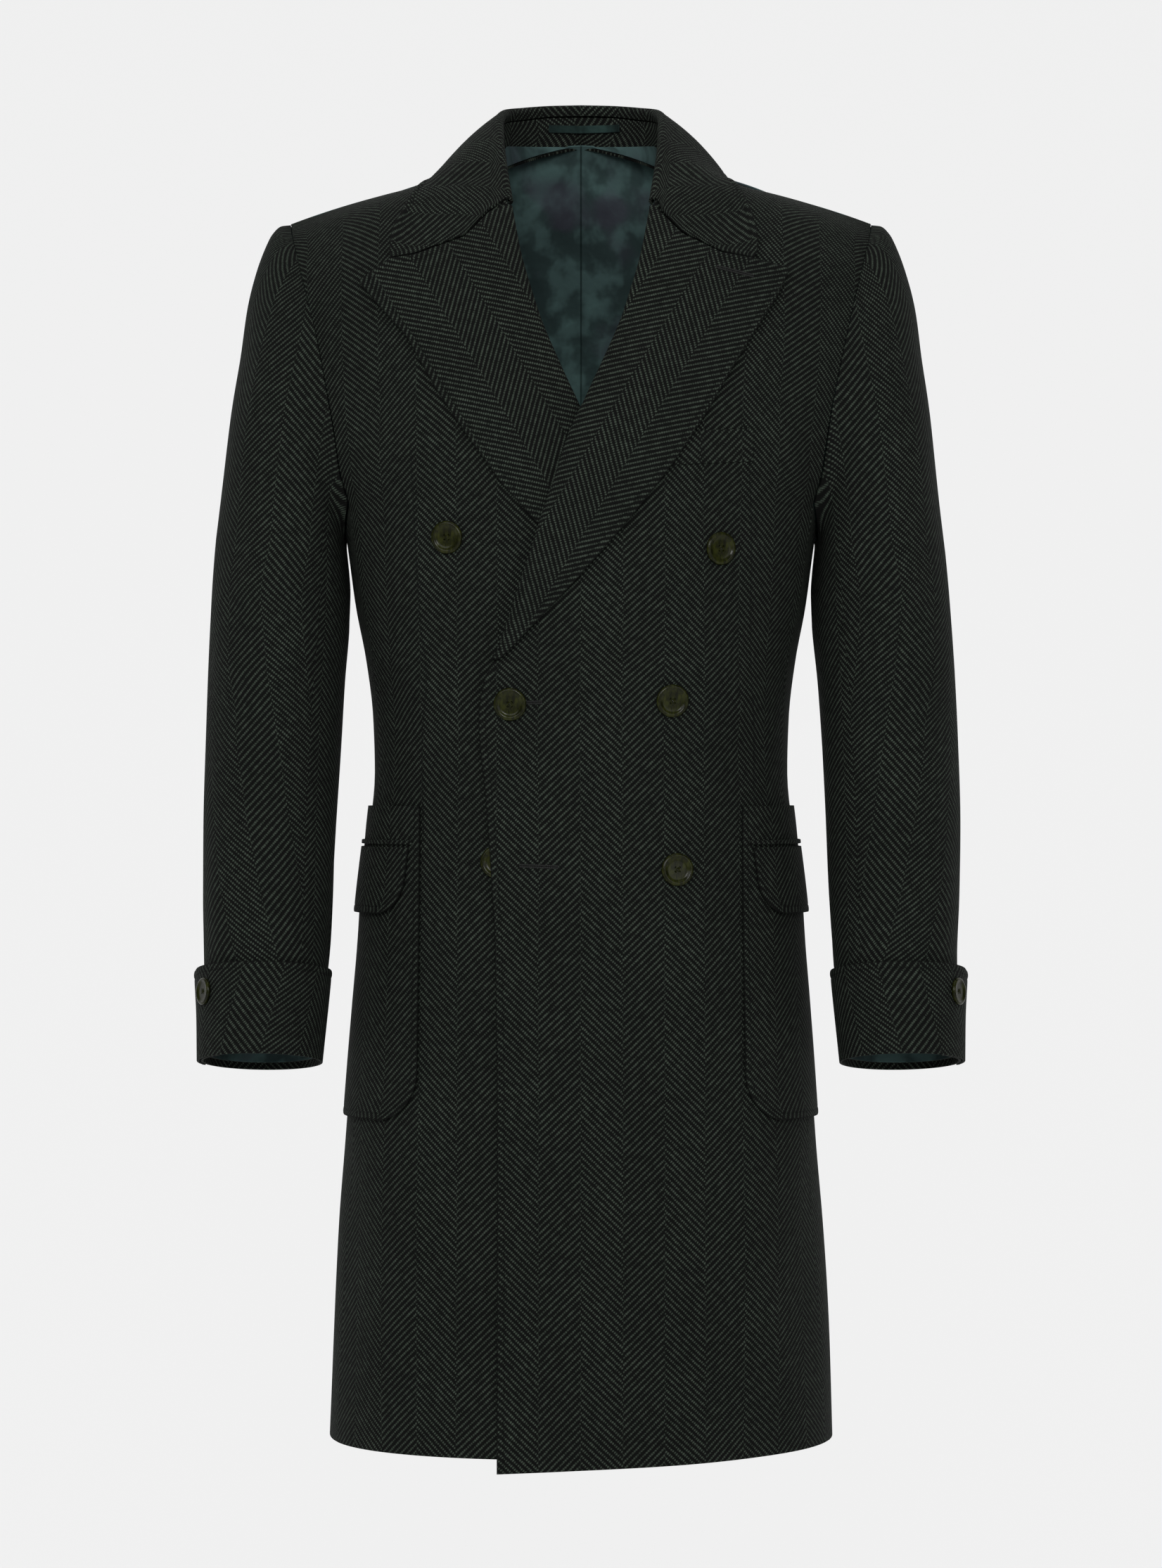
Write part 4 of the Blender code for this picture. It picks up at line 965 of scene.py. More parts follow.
def fall_half(s, t, side):
    """The fall, from its seam inside, over the fold and down to the outer edge."""
    share = np.interp(s, *COLLAR_SPREAD)
    seam, fold, edge, crest, outward = collar_frame(share, side)
    centre = fold - crest * FOLD_RADIUS
    angle = np.radians(np.interp(t, [COLLAR_BEND_SHARE, COLLAR_CREST_SHARE], [180, 0]))[:, None]
    bend = centre + FOLD_RADIUS * (outward * np.cos(angle) + crest * np.sin(angle))
    drop = np.maximum(stand_drop(seam, fold) - FOLD_RADIUS - 1.4, 0.4)
    bend = bend - crest * drop * np.clip(1 - t / COLLAR_BEND_SHARE, 0, 1)[:, None]
    out = np.clip((t - COLLAR_CREST_SHARE) / (1 - COLLAR_CREST_SHARE), 0, 1)
    start = centre + FOLD_RADIUS * outward
    leaf = start + (edge - start) * out[:, None]
    bulge = 4 * out * (1 - out) * 5.0 * fade(share, 0.55, 0.95)
    leaf = leaf + unit(crest + outward) * bulge[:, None]
    gorge = LEFT_GORGE[:-1] if side > 0 else RIGHT_GORGE[:-1]
    flat = polyline(gorge, out)
    target = front_surface(flat[:, 0], flat[:, 1], side, COLLAR_OVER)
    leaf = leaf + (target - leaf) * (share**8 * fade(out, 0.12, 0))[:, None]
    over = COLLAR_OVER + SHOULDER_OVER * fade(np.abs(share - 0.34), 0.08, 0.2)
    leaf = held_clear(TREE, leaf, over * np.minimum(1, 0.7 + out * 2))
    return np.where((t < COLLAR_CREST_SHARE + 0.001)[:, None], bend, leaf)


# Pockets: arc distances round the coat from the centre front, and heights
PATCH_FRONT, PATCH_BACK = 128.0, 312.0
PATCH_TOP, PATCH_BOTTOM = -497.0, -739.0
PATCH_CORNER = 38.0
PATCH_OUT, PATCH_WALL = 3.5, 1.8
JET_Z, JET_HEIGHT, JET_BEYOND = -525.0, 3.2, 3.0
FLAP_TOP, FLAP_BOTTOM = -529.0, -580.0
FLAP_FRONT, FLAP_BACK = 137.0, 300.0
FLAP_CORNER = 26.0
FLAP_OUT, FLAP_FLARE = 5.8, 2.0


def ring_point(distance, level, out):
    """The point at this distance round the coat, moved out by this much."""
    rings = ring_full(level)
    steps = np.linalg.norm(np.diff(rings, axis=1), axis=2)
    length = steps.sum(axis=1)
    point = along(rings, distance / length)
    ahead = along(rings, (distance + 2) / length)
    behind = along(rings, (distance - 2) / length)
    tangent = unit(ahead - behind)
    normal = np.stack([-tangent[:, 1], tangent[:, 0], 0 * tangent[:, 0]], axis=-1)
    return point - normal * np.expand_dims(out, -1)


def corner_cut(share, radius):
    """How far a rounded corner pulls in the edge, at this distance from it."""
    inside = np.clip(1 - share / radius, 0, 1)
    return radius * (1 - np.sqrt(1 - inside**2))


def pocket_patch(s, t):
    z = PATCH_BOTTOM + (PATCH_TOP - PATCH_BOTTOM) * t
    front = PATCH_FRONT + corner_cut(z - PATCH_BOTTOM, PATCH_CORNER)
    return ring_point(front + (PATCH_BACK - front) * s, z, np.full_like(s, PATCH_OUT))


def pocket_jet(s, t):
    z = JET_Z + JET_HEIGHT * (t - 0.5)
    length = FLAP_BACK - FLAP_FRONT + 2 * JET_BEYOND
    return ring_point(FLAP_FRONT - JET_BEYOND + length * s, z, np.full_like(s, FLAP_OUT))


def pocket_flap(s, t):
    z = FLAP_BOTTOM + (FLAP_TOP - FLAP_BOTTOM) * t
    down = z - FLAP_BOTTOM
    cut = corner_cut(down, FLAP_CORNER)
    front = FLAP_FRONT + 6 * (1 - t) + cut
    back = FLAP_BACK - cut
    return ring_point(front + (back - front) * s, z, FLAP_OUT + FLAP_FLARE * (1 - t))


# Breast welt, partly under the left lapel
WELT_LOWER = ((62, -237.6), (130.8, -233.0))
WELT_HEIGHT = 25.0
WELT_OUT, WELT_WALL = 2.0, 1.0


def breast_welt(s, t):
    (x0, z0), (x1, z1) = WELT_LOWER
    x = x0 + (x1 - x0) * s
    z = z0 + (z1 - z0) * s + WELT_HEIGHT * t
    return front_surface(x, z, 1, WELT_OUT)


# Hanger loop inside the stand
LOOP_ENDS = (-26.0, 31.0)
LOOP_Z, LOOP_HEIGHT = 47.6, 6.2
LOOP_INSIDE, LOOP_BOW, LOOP_WALL = 2.4, 1.2, 1.0


def hanger_loop(s, t):
    x = LOOP_ENDS[0] + (LOOP_ENDS[1] - LOOP_ENDS[0]) * s
    shares = np.linspace(0, 0.4, 24)
    share = np.interp(np.abs(x), stand_half(shares, 0 * shares + 0.5, 1, LOOP_INSIDE)[:, 0], shares)
    z = LOOP_Z + LOOP_HEIGHT * (t - 0.5)
    low = stand_half(share, np.zeros_like(s), 1, LOOP_INSIDE)
    high = stand_half(share, np.ones_like(s), 1, LOOP_INSIDE)
    up = ((z - low[:, 2]) / (high[:, 2] - low[:, 2]))[:, None]
    points = low + (high - low) * up
    points[:, 0] = x
    points[:, 1] -= LOOP_BOW * np.sin(math.pi * s)
    return points


# Lining of the back, which shows in the neck opening
LINING_INSIDE, LINING_WALL = 2.5, 1.0
LINING_ROWS = BACK_ROW_AT[2] - 1


def back_lining(s, t):
    """Half of the lining, on the back's own grid from one row above the hem to the neck seam."""
    row = (1 + LINING_ROWS * t) / BACK_ROWS
    points = back_panel(s, row)
    level = np.interp(row * BACK_ROWS, BACK_ROW_AT, BACK_ROW_LEVEL)
    return points - body_normal(BACK, points[:, 0], np.minimum(level, 10)) * LINING_INSIDE


BUTTONS = {
    "button_upper_right": (-101.4, -291.3, -1),
    "button_upper_left": (104.9, -299.8, 1),
    "button_middle_right": (-52.0, -418.7, 1),
    "button_middle_left": (66.7, -416.0, 1),
    "button_lower_right": (-63.7, -539.6, -1),
    "button_lower_left": (72.0, -545.6, 1),
}
BUTTON_SEAT, CUFF_BUTTON_SEAT = 1.8, 0.95

# Making a piece
SWELL = ([0, 1.0, 2.6, 4.2, 5.0, 5.8, 7.6], [-0.25, 0.2, 0.34, 0.12, -0.38, -0.06, 0.0])
EDGE_ROUNDING = 0.28  # of the wall
FAR_FROM_STITCHES = 60.0


def border(points, stitched):
    """The free edges of a grid that are stitched, as closely spaced points with the distance along them."""
    left, right, bottom, top = stitched
    lines = [points[:, 0], points[:, -1], points[0], points[-1]]
    found = []
    start = 0.0
    for line, wanted in zip(lines, (left, right, bottom, top)):
        if wanted is False:
            continue
        reach = np.concatenate([[0], np.cumsum(np.linalg.norm(np.diff(line, axis=0), axis=1))])
        low, high = (0, 1) if wanted is True else wanted
        at = np.arange(low * reach[-1], high * reach[-1], 0.5)
        spots = np.stack([np.interp(at, reach, line[:, axis]) for axis in range(3)], axis=-1)
        found.append(np.column_stack([spots, start + at]))
        start += reach[-1]
    return np.concatenate(found) if found else np.zeros((0, 4))


def edge_distances(points, stitched):
    """How far each point is from the nearest stitched edge, and where along it that is."""
    spots = border(points, stitched)
    gap = np.full(points.shape[:2], FAR_FROM_STITCHES)
    run = np.zeros(points.shape[:2])
    if not len(spots):
        return gap, run
    tree = KDTree(len(spots))
    for i, spot in enumerate(spots):
        tree.insert(tuple(spot[:3]), i)
    tree.balance()
    for j, row in enumerate(points):
        for i, point in enumerate(row):
            _, index, distance = tree.find(tuple(point))
            gap[j, i] = distance
            run[j, i] = spots[index, 3]
    return gap, run


def store(mesh, name, values):
    attribute = mesh.attributes.new(name, "FLOAT", "POINT")
    attribute.data.foreach_set("value", np.asarray(values, np.float32).ravel())


NO_STITCHES = (False,) * 4


def cloth_piece(
    node,
    points,
    normals,
    flat,
    outer,
    inner=None,
    wall=CLOTH,
    mirror=1,
    stitched=NO_STITCHES,
    swell=1.0,
    dart=None,
):
    """A wall of cloth over a grid of points. flat gives the weave's directions at each point."""
    rows, columns = points.shape[:2]
    gap, run = edge_distances(points, stitched)
    points = points + normals * (np.interp(gap, *SWELL) * swell)[..., None]
    corner = np.arange(rows * columns).reshape(rows, columns)
    quads = np.stack([corner[:-1, :-1], corner[:-1, 1:], corner[1:, 1:], corner[1:, :-1]], axis=-1)
    quads = quads.reshape(-1, 4)
    a, b, c = (points.reshape(-1, 3)[quads[:, k]] for k in (0, 1, 3))
    outward = np.sum(np.cross(b - a, c - a) * normals.reshape(-1, 3)[quads[:, 0]]) * mirror > 0
    quads = quads if outward else quads[:, ::-1]
    mesh = bpy.data.meshes.new("cloth_" + node)
    vertices = points.reshape(-1, 3) * (mirror * MM, MM, MM)
    mesh.from_pydata(vertices.tolist(), [], quads.tolist())
    mesh.shade_smooth()
    uv = mesh.uv_layers.new(name="cloth_uv")
    weave = flat.reshape(-1, 2) * (mirror * MM, MM)
    uv.data.foreach_set("uv", weave[quads.ravel()].astype(np.float32).ravel())
    store(mesh, "edge", gap * MM)
    store(mesh, "edge_run", run * MM)
    if dart is not None:
        store(mesh, "dart", dart[0] * MM)
        store(mesh, "dart_shown", dart[1])
    mesh.materials.append(outer)
    mesh.materials.append(inner or outer)
    piece = bpy.data.objects.new("cloth_" + node, mesh)
    bpy.context.scene.collection.objects.link(piece)
    shell = piece.modifiers.new("Wall", "SOLIDIFY")
    shell.thickness = wall * MM
    shell.offset = 0
    shell.material_offset = 1
    rounding = piece.modifiers.new("Edges", "BEVEL")
    rounding.width = EDGE_ROUNDING * wall * MM
    rounding.segments = 2
    rounding.limit_method = "ANGLE"
    rounding.angle_limit = math.radians(50)
    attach(piece, "root")
    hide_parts(node)
    return piece


def weave_map(points, across):
    """The weave's directions: across the cloth, and up it from its lower edge."""
    up = run_along(points, 0).mean(axis=1, keepdims=True) + 0 * across
    low = -1 if points[-1, :, 2].mean() < points[0, :, 2].mean() else 0
    return np.stack([across + 0 * up, up - up[low]], axis=-1)


# Panels of the body
DARTS = {
    1: table("z x", (-519, 133), (-444, 133), (-380, 130), (-297, 130.5), (-215, 128)),
    -1: table("z x", (-520, 121), (-447, 122), (-398, 118.5), (-357, 123), (-289, 127), (-205, 131)),
}
DART_ENDS = (-521, -222)


def dart_lines(points, side):
    """The signed distance from the front dart's seam, and where that seam shows."""
    z = points[..., 2]
    rows = DARTS[side]
    line = smooth(rows["z"], rows["x"], z)
    shown = fade(z, DART_ENDS[0], DART_ENDS[0] - 4) * fade(z, DART_ENDS[1], DART_ENDS[1] + 8)
    return points[..., 0] - line, shown * fade(np.abs(points[..., 0] - line), 20, 30)


def make_front(side, word, cloth, satin):
    points, normals, across = FRONT_GRID[side]
    points = trimmed(points.copy(), (0, SEAM, 0, SHOULDER_SEAM))
    cloth_piece(
        "front_" + word,
        points,
        normals,
        weave_map(points, across),
        cloth,
        satin,
        mirror=side,
        stitched=(True, False, False, False),
        dart=dart_lines(points, side),
    )


def make_side(side, word, cloth, satin):
    points = fine_grid(side_panel, 34, 72, 700)[2]
    normals = grid_normals(points, (1, 0, 0))
    start = ring_reach(points[:, 0, 2])[0]
    across = start[:, None] + run_along(points, 1)
    points = points + normals * body_lift(across, points[..., 2], side)[..., None]
    points = trimmed(points, (SEAM, SEAM, 0, SEAM))
    cloth_piece("side_" + word, points, normals, weave_map(points, across), cloth, satin, mirror=side)


def make_back(side, word, cloth, satin):
    points = fine_grid(back_panel, 40, 110, 1070)[2]
    normals = grid_normals(points, (0, 1, 0))
    across = run_along(points, 1) + points[:, :1, 0]
    round_from_front = ring_reach(points[:, 0, 2])[1][:, None] - across
    lift = body_lift(round_from_front, points[..., 2], side) * fade(across, 25, 2)
    points = trimmed(points + normals * lift[..., None], (0, SEAM, 0, SHOULDER_SEAM))
    cloth_piece("back_" + word, points, normals, weave_map(points, across), cloth, satin, mirror=side)


LINING_FOLDS = {
    1: table(
        CREASE_COLUMNS,
        (2, -13, 34, -6, 5, 1.8),
        (2, 14, 20, -12, 5, 1.2),
        (4, -30, 38, -58, 7, 1.4),
        (8, -85, 3, -125, 5, 1.2),
        (46, 10, 30, -70, 8, 1.5),
        (30, -60, 10, -150, 9, 1.6),
        (60, -150, 10, -260, 9, 1.4),
        (90, -200, 40, -330, 9, 1.4),
    ),
    -1: table(
        CREASE_COLUMNS,
        (4, 27, 50, -3, 5, 2.0),
        (32, -2, 6, -44, 6, 2.2),
        (43, -6, 24, -40, 6, 1.6),
        (52, -30, 30, -75, 7, 1.5),
        (36, -62, 14, -120, 6, 1.8),
        (18, -70, 16, -118, 5, -1.0),
        (60, -150, 10, -260, 9, 1.4),
        (90, -200, 40, -330, 9, 1.4),
    ),
}
LINING_SHARES = (0.974, 0.9985)  # how far it reaches across and up the solid's own grid


def make_lining(side, word, satin):
    def place(s, t):
        return back_lining(s * LINING_SHARES[0], t * LINING_SHARES[1])

    points = fine_grid(place, 60, 150, 1000)[2]
    normals = grid_normals(points, (0, -1, 0))
    across = run_along(points, 1)
    z = points[..., 2]
    fold = crease_height(LINING_FOLDS[side], across, z)
    fold = fold + 0.5 * np.sin(across / 9 + z / 23 + side) * fade(np.abs(z + 60), 60, 160)
    fold = np.clip(fold, -0.6, 4) * fade(across, 4, 0) * fade(z, 15, 32)
    points = trimmed(points + normals * fold[..., None], (OVERLAP, 0, 0, LINING_OVER_NECK))
    flat = weave_map(points, across)
    sewn = (True, False, False, False)
    name = "back_lining_" + word
    cloth_piece(name, points, normals, flat, satin, wall=LINING_WALL, mirror=side, stitched=sewn, swell=0)


# Sleeves and cuffs
SLEEVE_MIDDLE_X, SLEEVE_MIDDLE_Y = 240.0, -10.0
SLEEVE_RADIUS = 57.0  # turns the creases' distances into angles
WEAVE_SHIFT = 20.0  # from the front of a sleeve to the edge of a band


def sleeve_middle(points):
    """The middle of each row's ring, to tell which way is out."""
    x, y, z = points[..., 0], points[..., 1], points[..., 2]
    return np.stack([SLEEVE_MIDDLE_X + 0 * x, SLEEVE_MIDDLE_Y + 0 * y, z], axis=-1)


def arm_weave(points):
    """The weave's directions on a sleeve: round its level section from the front, and straight up."""
    x, y, z = points[..., 0], points[..., 1], points[..., 2]

    def at_level(level, name):
        return np.interp(z, SLEEVE[level][::-1], SLEEVE[name][::-1])

    outer, inner = at_level("outer_z", "outer_x"), at_level("inner_z", "inner_x")
    middle, depth = at_level("outer_z", "middle_y"), at_level("outer_z", "half_depth")
    wide = (outer - inner) / 2
    turn = np.unwrap(np.arctan2((x - (outer + inner) / 2) / wide, (middle - y) / depth), axis=1)
    steps = np.linspace(0, 1, 25)[:, None, None] * turn
    arc = np.hypot(wide * np.cos(steps), depth * np.sin(steps)).mean(axis=0) * turn
    return np.stack([arc - WEAVE_SHIFT, z], axis=-1)


def make_sleeve(side, word, cloth, satin, name, start, end, columns):
    s, _, points = fine_grid(sleeve_panel(start, end), columns, 110, 660)
    normals = grid_normals(points, points - sleeve_middle(points))
    turn = start + (end - start) * s
    around = np.radians(np.mod(turn + 180, 360) - 180) * SLEEVE_RADIUS
    lift = sleeve_lift(around, points[..., 2], side)
    points = trimmed(points + normals * lift[..., None], (SEAM, SEAM, 0, 0))
    cloth_piece(name + word, points, normals, arm_weave(points), cloth, satin, mirror=side)


def make_cuff(side, word, cloth):
    points = fine_grid(cuff_strip, 110, 22, 72, (False, True, False, True))[2]
    normals = grid_normals(points, points - sleeve_middle(points))
    flat = weave_map(points, run_along(points, 1))
    stitched = (False, (0.02, 1), False, (0.0, 1))
    cloth_piece("cuff_" + word, points, normals, flat, cloth, mirror=side, stitched=stitched)


# Lapels and collar
LAPEL_LEAN = math.radians(31)
LAPEL_FINER = 1.06  # its ribs are a little closer than the body's
NOTCH_SHARE = 0.58  # of the gorge, beyond which the lapel's top edge is free
LEAF_SHARE = FOLD_SHARE + 0.002  # just past the fold, where the leaf is measured


def make_lapel(side, word, cloth):
    place = lapel(side)

    def leaf(s, t):
        return place(LEAF_SHARE + s * (1 - LEAF_SHARE), t)

    t = divisions(84, 430, False, True)[0]
    out = divisions(34, np.maximum(row_lengths(leaf, t), 2), False, True)
    tail = np.array([0, 0.5])[None] * TAIL_SHARE + np.zeros((len(t), 1))
    fold = np.linspace(TAIL_SHARE, FOLD_SHARE, 17)[None] + np.zeros((len(t), 1))
    s = np.concatenate([tail, fold, FOLD_SHARE + (1 - FOLD_SHARE) * out[:, 1:]], axis=1)
    t = np.repeat(t[:, None], s.shape[1], axis=1)
    points = place(s.ravel(), t.ravel()).reshape(*s.shape, 3)
    normals = grid_normals(points, (0, -1, 0))
    cosine, sine = math.cos(LAPEL_LEAN), math.sin(LAPEL_LEAN)
    x, z = points[..., 0], points[..., 2]
    fold_end = tail.shape[1] + fold.shape[1] - 1
    run = run_along(points, 1)
    fold_run = np.minimum(run - run[:, fold_end : fold_end + 1], 0)
    flat = np.stack([x * cosine - z * sine + 0.6 * fold_run, x * sine + z * cosine], axis=-1) * LAPEL_FINER
    points = trimmed(points, (0, 0, 0, SEAM))
    stitched = (False, True, False, (NOTCH_SHARE, 1.0))
    cloth_piece("lapel_" + word, points, normals, flat, cloth, mirror=side, stitched=stitched)


COLLAR_END_FREE = (0.72, 1.0)  # the part of its end edges that isn't sewn to the lapel


def make_collar(cloth):
    place = halves(fall_half)
    inside = np.linspace(COLLAR_BEND_SHARE, COLLAR_CREST_SHARE, 17)[1:]
    rise = np.concatenate([np.linspace(0, COLLAR_BEND_SHARE, 3), inside])
    leaf = divisions(16, 55.0, False, True)[0]
    t = np.concatenate([rise, COLLAR_CREST_SHARE + (1 - COLLAR_CREST_SHARE) * leaf[1:]])
    s = divisions(150, 420.0, True, True)[0]
    s, t = np.meshgrid(s, t)
    points = place(s.ravel(), t.ravel()).reshape(*s.shape, 3)
    normals = grid_normals(points, (0, 0, 1))
    half = s.shape[1] // 2
    run = run_along(points, 1)
    flat = np.stack([run - run[:, half : half + 1], -run_along(points, 0)], axis=-1)
    points = trimmed(points, (SEAM, SEAM, SEAM, 0))
    stitched = (COLLAR_END_FREE, COLLAR_END_FREE, False, True)
    cloth_piece("collar_fall", points, normals, flat, cloth, stitched=stitched)


# The stand's lowest rows wear the satin, up to a line that looks level from the camera
SATIN_ROWS, SATIN_LEAST, SATIN_MOST = 4, 0.03, 0.85
SATIN_SEEN = 502.7  # the height of that line, above the camera
CAMERA_BACK, CAMERA_HEIGHT = 3500.0, -480.0


def make_stand(cloth, satin):
    _, t, points = fine_grid(halves(stand_half), 120, 12, 22)
    low, high = points[:1], points[-1:]
    level = SATIN_SEEN * (1 + low[..., 1] / CAMERA_BACK) + CAMERA_HEIGHT
    worn = np.clip((level - low[..., 2]) / (high[..., 2] - low[..., 2]), 0, SATIN_MOST)
    worn = np.maximum(worn * fade(np.abs(low[..., 0]), 58, 72), SATIN_LEAST)
    end = t[SATIN_ROWS]
    rise = np.where(t <= end, worn * t / end, worn + (1 - worn) * (t - end) / (1 - end))
    points = low + (high - low) * rise[..., None]
    normals = grid_normals(points, points - np.array((0, 20, 40)))
    flat = weave_map(points, run_along(points, 1))
    points = trimmed(points, (0, 0, 0, SEAM))
    piece = cloth_piece("collar_stand", points, normals, flat, cloth)
    for _ in range(2):
        piece.data.materials.append(satin)
    for face in piece.data.polygons[: SATIN_ROWS * (points.shape[1] - 1)]:
        face.material_index = 2


# Pockets
def lifted(points, distance, side):
    """A pocket's points, moved with the creases of the cloth that they lie on."""
    normals = grid_normals(points, points * (1, 1, 0))
    return points + normals * body_lift(distance, points[..., 2], side)[..., None], normals


# Each part's name, shape, first distance, height, columns, rows, and whether its edges are stitched
POCKET_PARTS = (
    ("pocket_", pocket_patch, PATCH_FRONT, 242, 50, 44, True),
    ("pocket_jet_", pocket_jet, FLAP_FRONT - JET_BEYOND, JET_HEIGHT, 50, 2, False),
    ("pocket_flap_", pocket_flap, FLAP_FRONT, 51, 46, 10, True),
)
POCKET_SWELL = 0.7


def make_pockets(side, word, cloth):
    for name, place, start, height, columns, rows, sewn in POCKET_PARTS:
        stitched = (sewn, sewn, sewn, False)
        points = fine_grid(place, columns, rows, height, stitched)[2]
        distance = start + run_along(points, 1) + (points[:, :1, 0] - points[-1, 0, 0]) * 0.9
        points, normals = lifted(points, distance, side)
        flat = np.stack([distance, points[..., 2] - HEM_Z], axis=-1)
        looks = {"wall": PATCH_WALL, "stitched": stitched, "swell": POCKET_SWELL}
        cloth_piece(name + word, points, normals, flat, cloth, mirror=side, **looks)


def make_welt(cloth):
    points = fine_grid(breast_welt, 22, 8, WELT_HEIGHT)[2]
    normals = grid_normals(points, (0, -1, 0))
    (x0, z0), (x1, z1) = WELT_LOWER
    flat = np.stack([points[..., 0] + 5, points[..., 2] - points[..., 0] * (z1 - z0) / (x1 - x0)], axis=-1)
    cloth_piece("breast_welt", points, normals, flat, cloth, wall=WELT_WALL)


def make_loop(satin):
    points = fine_grid(hanger_loop, 24, 4, LOOP_HEIGHT)[2]
    flat = weave_map(points, run_along(points, 1))
    cloth_piece("hanger_loop", points, grid_normals(points, (0, -1, 0)), flat, satin, wall=LOOP_WALL)


# Buttons
HOLE_OFFSET, HOLE_RADIUS = 2.3, 0.95
BUTTON_HEIGHT = 3.6
BUTTON_PROFILE = (
    (0, 0.60),
    (0.30, 0.60),
    (0.52, 0.61),
    (0.62, 0.64),
    (0.69, 0.74),
    (0.74, 0.88),
    (0.79, 0.97),
    (0.84, 1.0),
    (0.90, 0.97),
    (0.95, 0.87),
    (0.985, 0.72),
    (1.0, 0.52),
    (0.985, 0.28),
    (0.95, 0.08),
    (0.90, 0),
    (0, 0),
)
BUTTON_TURNS = 72
THREAD_RADIUS = 0.42


def evaluated_mesh(piece):
    bpy.context.view_layer.update()
    graph = bpy.context.evaluated_depsgraph_get()
    return bpy.data.meshes.new_from_object(piece.evaluated_get(graph))


def hole_cutter(offset, radius, depth):
    """Four upright pegs, in one mesh."""
    drawing = bmesh.new()
    for step in range(4):
        angle = math.radians(45 + 90 * step)
        made = bmesh.ops.create_cone(
            drawing, cap_ends=True, segments=20, radius1=radius * MM, radius2=radius * MM, depth=depth * MM
        )
        shift = (offset * MM * math.cos(angle), offset * MM * math.sin(angle), 0.9 * MM + depth * MM / 2)
        bmesh.ops.translate(drawing, verts=made["verts"], vec=shift)
    mesh = bpy.data.meshes.new("holes")
    drawing.to_mesh(mesh)
    drawing.free()
    return bpy.data.objects.new("holes", mesh)


def add_thread(drawing, start, end, rise, radius):
    """A strand that rises out of one hole and goes down another, with round sides."""
    start, end = np.array(start), np.array(end)
    across = unit(np.cross(end - start, (0, 0, 1.0)))
    rings = []
    for share in np.linspace(0, 1, 13):
        middle = start + (end - start) * share
        middle[2] += rise * math.sin(math.pi * share) ** 0.6
        ring = []
        for step in range(8):
            angle = 2 * math.pi * step / 8
            point = middle + radius * (across * math.cos(angle) + np.array((0, 0, 1.0)) * math.sin(angle))
            ring.append(drawing.verts.new(tuple(point * MM)))
        rings.append(ring)
    for first, second in zip(rings, rings[1:]):
        for i in range(8):
            face = drawing.faces.new((first[i], first[(i + 1) % 8], second[(i + 1) % 8], second[i]))
            face.material_index = 1
            face.smooth = True


THREAD_RISE, THREAD_CROSSING = 1.15, 0.25  # and the upper pair rises this much more
THREAD_APART, THREAD_SUNK = 0.3, 0.7


def button_mesh(name, radius, horn, thread):
    """A turned button with a raised rim, a dished middle, four holes and crossed thread."""
    height = BUTTON_HEIGHT * radius / BUTTON_RADIUS
    drawing = bmesh.new()
    corners = [drawing.verts.new((r * radius * MM, 0, h * height * MM)) for r, h in BUTTON_PROFILE]
    for first, second in zip(corners, corners[1:]):
        drawing.edges.new((first, second))
    mesh = bpy.data.meshes.new(name)
    drawing.to_mesh(mesh)
    drawing.free()
    turned = bpy.data.objects.new(name, mesh)
    bpy.context.scene.collection.objects.link(turned)
    turn = turned.modifiers.new("Turn", "SCREW")
    turn.steps = BUTTON_TURNS
    turn.render_steps = BUTTON_TURNS
    turn.use_merge_vertices = True
    turn.merge_threshold = 0.00001
    scale = radius / BUTTON_RADIUS
    holes = hole_cutter(HOLE_OFFSET * scale, HOLE_RADIUS * scale, 6)
    bpy.context.scene.collection.objects.link(holes)
    cut = turned.modifiers.new("Holes", "BOOLEAN")
    cut.operation = "DIFFERENCE"
    cut.object = holes
    finished = evaluated_mesh(turned)
    bpy.data.objects.remove(turned)
    bpy.data.objects.remove(holes)
    drawing = bmesh.new()
    drawing.from_mesh(finished)
    floor = BUTTON_PROFILE[0][1] * height
    reach = HOLE_OFFSET * scale / math.sqrt(2)
    for sign in (1, -1):
        for shift in (-THREAD_APART, THREAD_APART):
            a = (-reach + shift, -sign * reach - shift * sign, floor - THREAD_SUNK)
            b = (reach + shift, sign * reach - shift * sign, floor - THREAD_SUNK)
            rise = THREAD_RISE + THREAD_CROSSING * (sign > 0)
            add_thread(drawing, a, b, rise, THREAD_RADIUS * scale)
    drawing.to_mesh(finished)
    drawing.free()
    finished.name = name
    finished.materials.clear()
    finished.materials.append(horn)
    finished.materials.append(thread)
    finished.shade_smooth()
    finished.set_sharp_from_angle(angle=math.radians(38))
    return finished


def place_button(node, mesh, seat, normal):
    piece = bpy.data.objects.new("detail_" + node, mesh)
    bpy.context.scene.collection.objects.link(piece)
    piece.location = seat * MM
    piece.rotation_mode = "QUATERNION"
    piece.rotation_quaternion = Vector(normal).to_track_quat("Z", "Y")
    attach(piece, "root")
    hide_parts(node)


